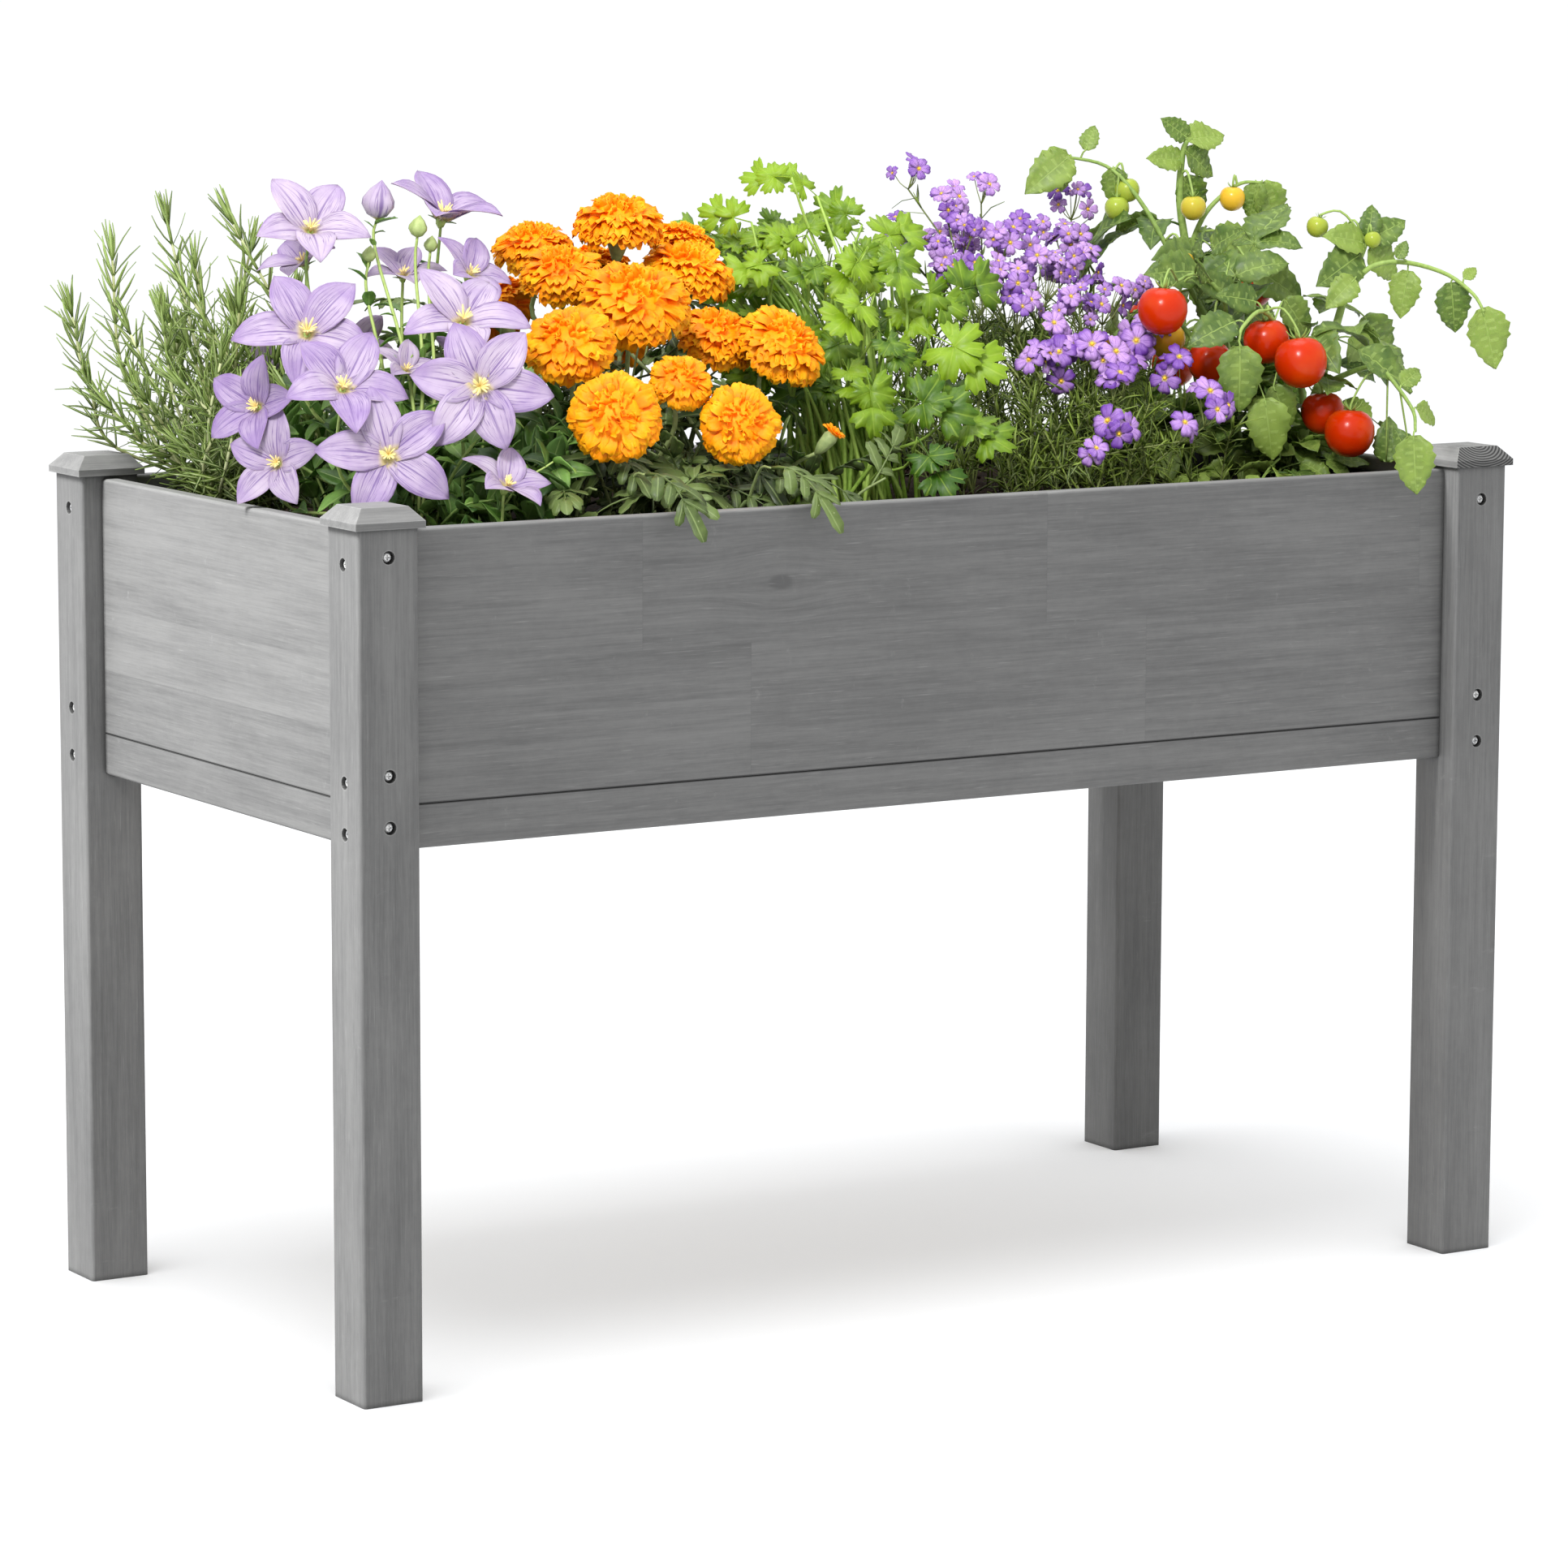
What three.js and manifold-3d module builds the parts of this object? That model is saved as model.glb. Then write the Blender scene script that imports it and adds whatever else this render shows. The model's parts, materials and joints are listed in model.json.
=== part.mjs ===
// Raised planter on legs: a grey stained wooden bed on four posts, lined, filled with soil and planted.
// Millimetres, +Z up. The origin is on the ground under the middle of the bed, +X runs along its length
// and -Y is the front.
import * as THREE from 'three';
import { mergeVertices } from 'three/addons/utils/BufferGeometryUtils.js';
import Module from 'manifold-3d';

const wasm = await Module();
wasm.setup();

// Driving dimensions
const GAP = 0.3; // between pieces that touch
const LENGTH = 1210; // over the outer faces of the legs
const DEPTH = 607;
const LEG_SIDE = 57;
const LEG_TOP = 752;
const LEG_EDGE_RADIUS = 3;
const CAP_OVERHANG = 4.5;
const CAP_LIP = 6;
const CAP_BEVEL_HEIGHT = 12;
const CAP_BEVEL_INSET = 10.8;

const BOARD_SETBACK = 20.5; // from the outer faces of the legs
const BOARD_THICKNESS = 16;
const BOARD_TOP = 749;
const BOARD_TOP_RADIUS = 3;
const BOARD_FOOT_RADIUS = 0.8;
const SEAM = 514; // top of the rails and foot of the boards
const RAIL_THICKNESS = 33;
const RAIL_BOTTOM = 476;
const RAIL_TOP_RADIUS = 1.2;
const RAIL_FOOT_RADIUS = 2.5;

const BEAM_COUNT = 3;
const BEAM_WIDTH = 38;
const SLAT_COUNT = 5;
const SLAT_THICKNESS = 12;
const SLAT_WIDTH = 99;
const SLAT_GAP = 8.5;

const LINER_THICKNESS = 1;
const LINER_TOP = 738;
const SOIL_TOP = 716;

const SCREW_HEAD_RADIUS = 4;
const SCREW_SHANK_RADIUS = 2.2;
const SCREW_BITE = 24; // into the end of a board or rail
const SCREW_SEGMENTS = 14;
const HOLE_RADIUS = 2.6;
const COUNTERBORE_RADIUS = 5.8;
const COUNTERBORE_DEPTH = 6;
const HEAD_SINK = 2.5; // from the face of the leg to the top of the head
const CROSS_SPAN = 4.6;
const CROSS_WIDTH = 1.1;
const CROSS_DEPTH = 1.8;
// Screws from the two outer faces of a leg pass over each other, so one face's are set lower.
const SCREWS_BELOW_LEG_TOP = { top: 24, middle: 209, bottom: 253 };
const LOWER_SCREWS = 7;

const UP = new THREE.Vector3(0, 0, 1);
const halfLength = LENGTH / 2;
const halfDepth = DEPTH / 2;
const boardInset = BOARD_SETBACK + BOARD_THICKNESS; // outer face of a leg to the inner face of a board

const finish = (color, roughness, metalness = 0) =>
  new THREE.MeshStandardMaterial({ color, roughness, metalness });
const stainedWood = finish(0x8b8b8b, 0.65);
const bareWood = finish(0xb79a72, 0.75);
const steel = finish(0xb9bbbe, 0.35, 0.9);
const linerFabric = finish(0x1d1d1e, 0.95);
const soil = finish(0x2b1d14, 0.95);
const leaf = (color) => finish(color, 0.7);

const planter = new THREE.Group();

function named(name, geometry, material, parent = planter) {
  const mesh = new THREE.Mesh(geometry, material);
  mesh.name = name;
  parent.add(mesh);
  return mesh;
}

// Solids for joining and cutting

function toSolid(geometry) {
  const bare = geometry.clone();
  bare.deleteAttribute('normal');
  bare.deleteAttribute('uv');
  const merged = mergeVertices(bare, 1e-4);
  return new wasm.Manifold(new wasm.Mesh({
    numProp: 3,
    vertProperties: new Float32Array(merged.attributes.position.array),
    triVerts: new Uint32Array(merged.index.array),
  }));
}

function toGeometry(solid) {
  const { vertProperties, triVerts, numProp } = solid.getMesh();
  const points = new Float32Array((vertProperties.length / numProp) * 3);
  for (let i = 0; i < points.length / 3; i += 1) {
    points.set(vertProperties.subarray(i * numProp, i * numProp + 3), i * 3);
  }
  const geometry = new THREE.BufferGeometry();
  geometry.setAttribute('position', new THREE.BufferAttribute(points, 3));
  geometry.setIndex(new THREE.BufferAttribute(new Uint32Array(triVerts), 1));
  geometry.computeVertexNormals();
  return geometry;
}

// Outlines

// A rectangle from (left, foot) to (right, top) with a radius for the two lower and the two upper corners.
function roundedRectangle(left, right, foot, top, footRadius, topRadius) {
  const shape = new THREE.Shape();
  shape.moveTo(left + footRadius, foot);
  shape.lineTo(right - footRadius, foot);
  shape.absarc(right - footRadius, foot + footRadius, footRadius, -Math.PI / 2, 0);
  shape.lineTo(right, top - topRadius);
  shape.absarc(right - topRadius, top - topRadius, topRadius, 0, Math.PI / 2);
  shape.lineTo(left + topRadius, top);
  shape.absarc(left + topRadius, top - topRadius, topRadius, Math.PI / 2, Math.PI);
  shape.lineTo(left, foot + footRadius);
  shape.absarc(left + footRadius, foot + footRadius, footRadius, Math.PI, 1.5 * Math.PI);
  return shape;
}

// The inside of the bed, notched round the four legs, drawn in by inset on every side.
function bedOutline(inset) {
  const endX = halfLength - boardInset - inset;
  const sideY = halfDepth - boardInset - inset;
  const notchX = halfLength - LEG_SIDE - inset;
  const notchY = halfDepth - LEG_SIDE - inset;
  const corner = [[endX, notchY], [notchX, notchY], [notchX, sideY]];
  const mirrored = (sx, sy) => corner.map(([x, y]) => new THREE.Vector2(sx * x, sy * y));
  return new THREE.Shape([
    ...mirrored(1, 1),
    ...mirrored(-1, 1).reverse(),
    ...mirrored(-1, -1),
    ...mirrored(1, -1).reverse(),
  ]);
}

const upright = (shape, height, curveSegments = 4) =>
  new THREE.ExtrudeGeometry(shape, { depth: height, bevelEnabled: false, curveSegments, steps: 1 });

// A board whose cross section lies in Y and Z runs along X, centred.
function alongX(section, length) {
  const geometry = upright(section, length);
  geometry.translate(0, 0, -length / 2);
  const [x, y, z] = [new THREE.Vector3(1, 0, 0), new THREE.Vector3(0, 1, 0), UP];
  return geometry.applyMatrix4(new THREE.Matrix4().makeBasis(y, z, x));
}

// Legs and caps

const SIDES = { front_left: [-1, -1], front_right: [1, -1], back_left: [-1, 1], back_right: [1, 1] };

function addLeg(corner) {
  const [sx, sy] = SIDES[corner];
  const half = LEG_SIDE / 2;
  const outline = roundedRectangle(-half, half, -half, half, LEG_EDGE_RADIUS, LEG_EDGE_RADIUS);
  const leg = named(`leg_${corner}`, upright(outline, LEG_TOP - GAP), stainedWood);
  leg.position.set(sx * (halfLength - half), sy * (halfDepth - half), 0);
  return leg;
}

function addCap(corner) {
  const [sx, sy] = SIDES[corner];
  const lipHalf = LEG_SIDE / 2 + CAP_OVERHANG;
  const topHalf = lipHalf - CAP_BEVEL_INSET;
  const profile = [
    [0, 0],
    [lipHalf, 0],
    [lipHalf, CAP_LIP],
    [topHalf, CAP_LIP + CAP_BEVEL_HEIGHT],
    [0, CAP_LIP + CAP_BEVEL_HEIGHT],
  ].map(([side, height]) => new THREE.Vector2(side * Math.SQRT2, height));
  const square = new THREE.LatheGeometry(profile, 4);
  square.rotateX(Math.PI / 2);
  square.rotateZ(Math.PI / 4);
  const cap = named(`cap_${corner}`, square, stainedWood);
  const toCentre = LEG_SIDE / 2;
  cap.position.set(sx * (halfLength - toCentre), sy * (halfDepth - toCentre), LEG_TOP);
  return cap;
}

// Boards and rails, one side of the bed at a time

const WALLS = {
  front: { turn: 0, run: LENGTH, out: halfDepth },
  right: { turn: Math.PI / 2, run: DEPTH, out: halfLength },
  back: { turn: Math.PI, run: LENGTH, out: halfDepth },
  left: { turn: -Math.PI / 2, run: DEPTH, out: halfLength },
};

function addWall(side) {
  const { turn, run, out } = WALLS[side];
  const wall = new THREE.Group();
  wall.rotation.z = turn;
  planter.add(wall);
  const face = BOARD_SETBACK - out;
  const length = run - 2 * (LEG_SIDE + GAP);
  const boardBack = face + BOARD_THICKNESS;
  const railBack = face + RAIL_THICKNESS;
  const boardSection =
    roundedRectangle(face, boardBack, SEAM + GAP, BOARD_TOP, BOARD_FOOT_RADIUS, BOARD_TOP_RADIUS);
  const railSection =
    roundedRectangle(face, railBack, RAIL_BOTTOM, SEAM, RAIL_FOOT_RADIUS, RAIL_TOP_RADIUS);
  return [
    named(`panel_${side}`, alongX(boardSection, length), stainedWood, wall),
    named(`rail_${side}`, alongX(railSection, length), stainedWood, wall),
  ];
}

// Screws. Each lies along local -Z from its place on the face of a leg.

function screwPlaces(corner) {
  const [sx, sy] = SIDES[corner];
  const toCentre = LEG_SIDE / 2;
  const places = [];
  for (const face of ['end', 'long']) {
    const low = (face === 'end') === (sx < 0);
    for (const [level, below] of Object.entries(SCREWS_BELOW_LEG_TOP)) {
      const place = new THREE.Object3D();
      const z = LEG_TOP - below - (low ? LOWER_SCREWS : 0);
      const outward = face === 'end' ? new THREE.Vector3(sx, 0, 0) : new THREE.Vector3(0, sy, 0);
      place.position.set(sx * (halfLength - toCentre), sy * (halfDepth - toCentre), z);
      place.position.addScaledVector(outward, toCentre);
      place.quaternion.setFromUnitVectors(UP, outward);
      place.name = `screw_${corner}_${face}_${level}`;
      place.updateMatrixWorld();
      places.push(place);
    }
  }
  return places;
}

function turned(profile) {
  const points = profile.map(([radius, height]) => new THREE.Vector2(radius, height));
  return new THREE.LatheGeometry(points, SCREW_SEGMENTS).rotateX(Math.PI / 2);
}

function screwGeometry() {
  const headRim = -HEAD_SINK - 1;
  const headFoot = headRim - 0.6;
  const coneFoot = headFoot - 2.2;
  const tip = -LEG_SIDE - SCREW_BITE;
  const tipLength = 6;
  const body = toSolid(turned([
    [0, tip],
    [SCREW_SHANK_RADIUS, tip + tipLength],
    [SCREW_SHANK_RADIUS, coneFoot],
    [SCREW_HEAD_RADIUS, headFoot],
    [SCREW_HEAD_RADIUS, headRim],
    [SCREW_HEAD_RADIUS - 1, -HEAD_SINK],
    [0, -HEAD_SINK],
  ]));
  const slot = new THREE.BoxGeometry(CROSS_SPAN, CROSS_WIDTH, 2 * CROSS_DEPTH);
  slot.translate(0, 0, -HEAD_SINK);
  const otherSlot = slot.clone().rotateZ(Math.PI / 2);
  return toGeometry(body.subtract(toSolid(slot)).subtract(toSolid(otherSlot)));
}

const drillShape = toSolid(turned([
  [0, -LEG_SIDE - SCREW_BITE - 1],
  [HOLE_RADIUS, -LEG_SIDE - SCREW_BITE - 1],
  [HOLE_RADIUS, -COUNTERBORE_DEPTH],
  [COUNTERBORE_RADIUS, -COUNTERBORE_DEPTH],
  [COUNTERBORE_RADIUS, 1],
  [0, 1],
]));

// Cuts the screws' holes into a placed piece.
function drill(piece, places) {
  piece.updateWorldMatrix(true, false);
  const toPiece = piece.matrixWorld.clone().invert();
  let solid = toSolid(piece.geometry);
  for (const place of places) {
    const local = toPiece.clone().multiply(place.matrixWorld);
    solid = solid.subtract(drillShape.transform(local.elements));
  }
  piece.geometry = toGeometry(solid);
}

// Floor

function addBeams() {
  const reach = DEPTH - 2 * (BOARD_SETBACK + RAIL_THICKNESS + GAP);
  for (let i = 0; i < BEAM_COUNT; i += 1) {
    const beam = new THREE.BoxGeometry(BEAM_WIDTH, reach, SEAM - RAIL_BOTTOM);
    const mesh = named(`cross_beam_${i + 1}`, beam, bareWood);
    const pitch = LENGTH / (BEAM_COUNT + 1);
    mesh.position.set((i + 1) * pitch - halfLength, 0, (SEAM + RAIL_BOTTOM) / 2);
  }
}

function addSlats() {
  const bed = toSolid(upright(bedOutline(GAP), SLAT_THICKNESS));
  const pitch = SLAT_WIDTH + SLAT_GAP;
  for (let i = 0; i < SLAT_COUNT; i += 1) {
    const strip = new THREE.BoxGeometry(LENGTH, SLAT_WIDTH, 3 * SLAT_THICKNESS);
    strip.translate(0, (i - (SLAT_COUNT - 1) / 2) * pitch, 0);
    const slat = named(`floor_slat_${i + 1}`, toGeometry(bed.intersect(toSolid(strip))), bareWood);
    slat.position.z = SEAM + GAP;
  }
}

// Liner and soil

function addLiner() {
  const foot = SEAM + SLAT_THICKNESS + 2 * GAP;
  const outer = toSolid(upright(bedOutline(GAP), LINER_TOP - foot));
  const hollow = upright(bedOutline(GAP + LINER_THICKNESS), LINER_TOP);
  hollow.translate(0, 0, LINER_THICKNESS);
  const liner = named('bed_liner', toGeometry(outer.subtract(toSolid(hollow))), linerFabric);
  liner.position.z = foot;
}

function addSoil() {
  const foot = SEAM + SLAT_THICKNESS + 3 * GAP + LINER_THICKNESS;
  const outline = bedOutline(2 * GAP + LINER_THICKNESS);
  const fill = named('potting_soil', upright(outline, SOIL_TOP - foot), soil);
  fill.position.z = foot;
}

// Plants: each is a plain body of the plant's outer size, wide in the crown and narrow at the soil.

const CROWN = [[0, 0], [0.22, 0], [0.78, 0.34], [1, 0.6], [0.85, 0.85], [0.4, 1], [0, 1]];
const PLANTS = {
  rosemary: { at: [-490, 165], reach: [114, 112], top: 1018, color: 0x71845c },
  balloon_flower: { at: [-450, -115], reach: [136, 140], top: 1015, color: 0xb9a4de },
  marigold: { at: [-190, -65], reach: [116, 190], top: 1010, color: 0xf09316 },
  parsley: { at: [65, -5], reach: [102, 190], top: 1030, color: 0x8dbb37 },
  purple_flower: { at: [262, -20], reach: [90, 195], top: 1030, color: 0x8a63c4 },
  tomato: { at: [485, -40], reach: [120, 205], top: 1062, color: 0x5d8a3c },
};

function addPlant(name, { at, reach, top, color }) {
  const profile = CROWN.map(([radius, height]) => new THREE.Vector2(radius, height));
  const body = new THREE.LatheGeometry(profile, 16).rotateX(Math.PI / 2);
  const plant = named(`plant_${name}`, body, leaf(color));
  plant.scale.set(reach[0], reach[1], top - SOIL_TOP - GAP);
  plant.position.set(at[0], at[1], SOIL_TOP + GAP);
}

// Assembly

const everyPlace = Object.keys(SIDES).flatMap(screwPlaces);
for (const corner of Object.keys(SIDES)) {
  drill(addLeg(corner), screwPlaces(corner));
  addCap(corner);
}
for (const side of Object.keys(WALLS)) {
  for (const piece of addWall(side)) {
    drill(piece, everyPlace);
  }
}
const screwBody = screwGeometry();
for (const place of everyPlace) {
  const screw = named(place.name, screwBody, steel);
  screw.position.copy(place.position);
  screw.quaternion.copy(place.quaternion);
}
addBeams();
addSlats();
addLiner();
addSoil();
for (const [name, plant] of Object.entries(PLANTS)) {
  addPlant(name, plant);
}

export default planter;
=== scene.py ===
"""The looks of the raised planter: stained wood, screws, liner, soil and the six plants.

Metres, +Z up, -Y is the front. The woodwork, soil and liner take their places from the frame's boxes. The
plants' places are written in mm, in the frame's axes.
"""
import json
import math

import bpy
import numpy as np
from mathutils import Matrix, Vector

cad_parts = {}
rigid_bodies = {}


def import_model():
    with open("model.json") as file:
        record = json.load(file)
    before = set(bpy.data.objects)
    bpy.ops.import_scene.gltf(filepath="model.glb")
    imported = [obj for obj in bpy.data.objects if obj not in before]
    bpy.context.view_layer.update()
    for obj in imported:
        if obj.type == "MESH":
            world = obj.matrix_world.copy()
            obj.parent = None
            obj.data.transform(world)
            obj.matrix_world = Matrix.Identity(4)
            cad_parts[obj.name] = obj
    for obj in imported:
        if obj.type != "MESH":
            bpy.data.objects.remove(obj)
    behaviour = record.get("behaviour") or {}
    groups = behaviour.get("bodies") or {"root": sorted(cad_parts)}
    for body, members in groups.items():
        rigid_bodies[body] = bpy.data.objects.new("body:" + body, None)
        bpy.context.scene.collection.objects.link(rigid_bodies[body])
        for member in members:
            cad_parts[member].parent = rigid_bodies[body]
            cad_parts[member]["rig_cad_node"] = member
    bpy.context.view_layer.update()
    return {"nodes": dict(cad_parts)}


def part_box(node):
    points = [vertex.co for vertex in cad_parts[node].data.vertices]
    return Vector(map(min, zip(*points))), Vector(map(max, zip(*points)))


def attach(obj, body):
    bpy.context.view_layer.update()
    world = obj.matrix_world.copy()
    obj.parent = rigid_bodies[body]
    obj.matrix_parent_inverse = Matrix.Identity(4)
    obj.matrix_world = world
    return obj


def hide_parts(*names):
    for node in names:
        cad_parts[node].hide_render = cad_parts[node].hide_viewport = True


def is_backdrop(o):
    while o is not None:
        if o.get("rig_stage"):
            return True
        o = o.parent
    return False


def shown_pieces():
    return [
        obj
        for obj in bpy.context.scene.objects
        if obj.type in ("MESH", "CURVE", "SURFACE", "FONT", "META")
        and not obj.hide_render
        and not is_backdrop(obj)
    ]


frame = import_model()

CORNERS = ("front_left", "front_right", "back_left", "back_right")
SIDES = ("front", "right", "back", "left")
FULL_TURN = 2 * math.pi


# ---------------------------------------------------------------- materials


class Shade:
    """A node material, with a short way to write each kind of node that is used here."""

    def __init__(self, name):
        self.material = bpy.data.materials.new(name)
        self.material.use_nodes = True
        self.nodes = self.material.node_tree.nodes
        self.links = self.material.node_tree.links
        self.nodes.clear()
        self.surface = self.node("ShaderNodeBsdfPrincipled")
        out = self.nodes.new("ShaderNodeOutputMaterial")
        self.links.new(self.surface.outputs[0], out.inputs["Surface"])

    def give(self, socket, value):
        if isinstance(value, bpy.types.NodeSocket):
            self.links.new(value, socket)
        else:
            socket.default_value = value

    def node(self, kind, inputs=None, **settings):
        made = self.nodes.new(kind)
        for key, value in settings.items():
            setattr(made, key, value)
        for key, value in (inputs or {}).items():
            self.give(made.inputs[key], value)
        return made

    def set(self, **inputs):
        for key, value in inputs.items():
            self.give(self.surface.inputs[key.replace("_", " ")], value)

    def glow_inside(self, weight, radius, scale=0.002):
        self.set(Subsurface_Weight=weight, Subsurface_Radius=radius, Subsurface_Scale=scale)

    def math(self, operation, *values):
        return self.node("ShaderNodeMath", dict(enumerate(values)), operation=operation).outputs[0]

    def times(self, a, b):
        return self.math("MULTIPLY", a, b)

    def minus(self, a, b):
        return self.math("SUBTRACT", a, b)

    def most(self, a, b):
        return self.math("MAXIMUM", a, b)

    def add_times(self, base, a, b):
        return self.math("MULTIPLY_ADD", a, b, base)

    def sway(self, tone, *parts):
        """The tone, moved up and down by (noise, weight) parts, each noise being about 0.5."""
        for part, weight in parts:
            tone = self.add_times(tone, self.minus(part, 0.5), weight)
        return tone

    def bands(self, value, count, half=0.5):
        """A value that runs to and fro between 0 and half."""
        return self.math("PINGPONG", self.times(value, count), half)

    def vector_math(self, operation, *values):
        return self.node("ShaderNodeVectorMath", dict(enumerate(values)), operation=operation).outputs

    def scaled(self, vector, scale):
        return self.vector_math("MULTIPLY", vector, scale)[0]

    def length(self, vector):
        return self.vector_math("LENGTH", vector)["Value"]

    def combine(self, x, y, z):
        return self.node("ShaderNodeCombineXYZ", {0: x, 1: y, 2: z}).outputs[0]

    def separate(self, vector):
        return self.node("ShaderNodeSeparateXYZ", {0: vector}).outputs

    def place(self):
        return self.node("ShaderNodeTexCoord").outputs["Object"]

    def noise(self, scale=1.0, detail=2.0, roughness=0.5, distortion=0.0, vector=None):
        """Cloudy noise about 0.5, over the piece's own place unless a vector is given."""
        inputs = {"Vector": vector or self.place(), "Scale": scale, "Detail": detail}
        inputs.update({"Roughness": roughness, "Distortion": distortion})
        return self.node("ShaderNodeTexNoise", inputs).outputs["Fac"]

    def step(self, value, low, high, out_low=0.0, out_high=1.0):
        """A smooth rise from out_low to out_high as value goes from low to high."""
        inputs = dict(enumerate((value, low, high, out_low, out_high)))
        made = self.node("ShaderNodeMapRange", inputs, interpolation_type="SMOOTHSTEP")
        return made.outputs["Result"]

    def mix(self, factor, a, b):
        made = self.node("ShaderNodeMix", {"Factor": factor}, data_type="RGBA")
        self.give(made.inputs[6], rgba(a))
        self.give(made.inputs[7], rgba(b))
        return made.outputs[2]

    def bump(self, height, strength, distance):
        inputs = {"Height": height, "Strength": strength, "Distance": distance}
        self.set(Normal=self.node("ShaderNodeBump", inputs).outputs[0])

    def paint(self):
        """What a plant mesh carries at its points: across, along, side (across without its sign) and tint.
        The last value is 1 on a leaf's underside."""
        read = self.node("ShaderNodeAttribute", attribute_name="paint")
        along, across, tint = self.separate(read.outputs["Vector"])
        under = self.step(along, 1.45, 1.55)
        return across, self.add_times(along, under, -2.0), self.math("ABSOLUTE", across), tint, under

    def worn_edge(self, reach):
        """1 where the surface turns over an edge within reach, and 0 on the flat."""
        round_normal = self.node("ShaderNodeBevel", {"Radius": reach}, samples=4).outputs[0]
        flat_normal = self.node("ShaderNodeNewGeometry").outputs["Normal"]
        return self.step(self.vector_math("DOT_PRODUCT", round_normal, flat_normal)["Value"], 0.995, 0.86)


def rgba(value):
    if isinstance(value, bpy.types.NodeSocket) or len(value) == 4:
        return value
    return (*value, 1.0)


def srgb(*levels):
    """A colour given as 0 to 255 screen levels, in linear light."""
    return tuple((v / 255 / 12.92) if v < 10.3 else ((v / 255 + 0.055) / 1.055) ** 2.4 for v in levels)


def dimmed(colour, share):
    return tuple(min(1.0, share * c) for c in colour)


# For each way the grain can run, the axes along it, into the board and up the board.
GRAIN = {"x": (0, 1, 2), "y": (1, 0, 2), "z": (2, 0, 1)}


def glued_staves(s, run, rise, foot, width, length, seed):
    """How far the grain is shifted in each stave, and the dark lines where staves meet."""
    strip = s.math("DIVIDE", s.minus(rise, foot), width)
    row = s.math("FLOOR", strip)
    offset = s.add_times(0.5, s.math("SINE", s.times(row, 2.3)), 0.35)
    bay = s.math("ADD", s.math("DIVIDE", run, length), offset)
    shift = s.add_times(s.add_times(seed, s.math("FLOOR", bay), 3.17), row, 7.31)
    joint_line = s.step(s.math("PINGPONG", bay, 0.5), 0.002, 0.0)
    glue_line = s.step(s.math("PINGPONG", strip, 0.5), 0.006, 0.0, 0.0, 0.5)
    return shift, s.most(joint_line, glue_line)


def knotted(s, run, rise, knot):
    """The rise, bent round a knot at (along, up), and the knot's dark tone."""
    off_rise = s.times(s.minus(rise, knot[1]), 1.9)
    far = s.length(s.combine(s.minus(run, knot[0]), off_rise, 0.0))
    bent = s.add_times(rise, s.step(far, 0.09, 0.0), s.times(off_rise, -0.3))
    return bent, s.step(far, 0.016, 0.004, 0.0, 0.5)


def sawn_ends(s, colour, along, heart, wander, dark, light):
    """Year rings round the log's heart, on the faces that are cut across the grain."""
    from_heart = s.vector_math("SUBTRACT", s.place(), heart)[0]
    wavy = s.add_times(s.length(s.scaled(from_heart, (1.0, 0.0, 1.6))), wander, 0.006)
    ring = s.step(s.bands(wavy, 290.0), 0.1, 0.42)
    normal = s.separate(s.node("ShaderNodeTexCoord").outputs["Normal"])
    sawn = s.step(s.math("ABSOLUTE", normal[GRAIN[along][0]]), 0.3, 0.42)
    return s.mix(sawn, colour, s.mix(ring, dimmed(dark, 0.2), dimmed(light, 0.75)))


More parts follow.
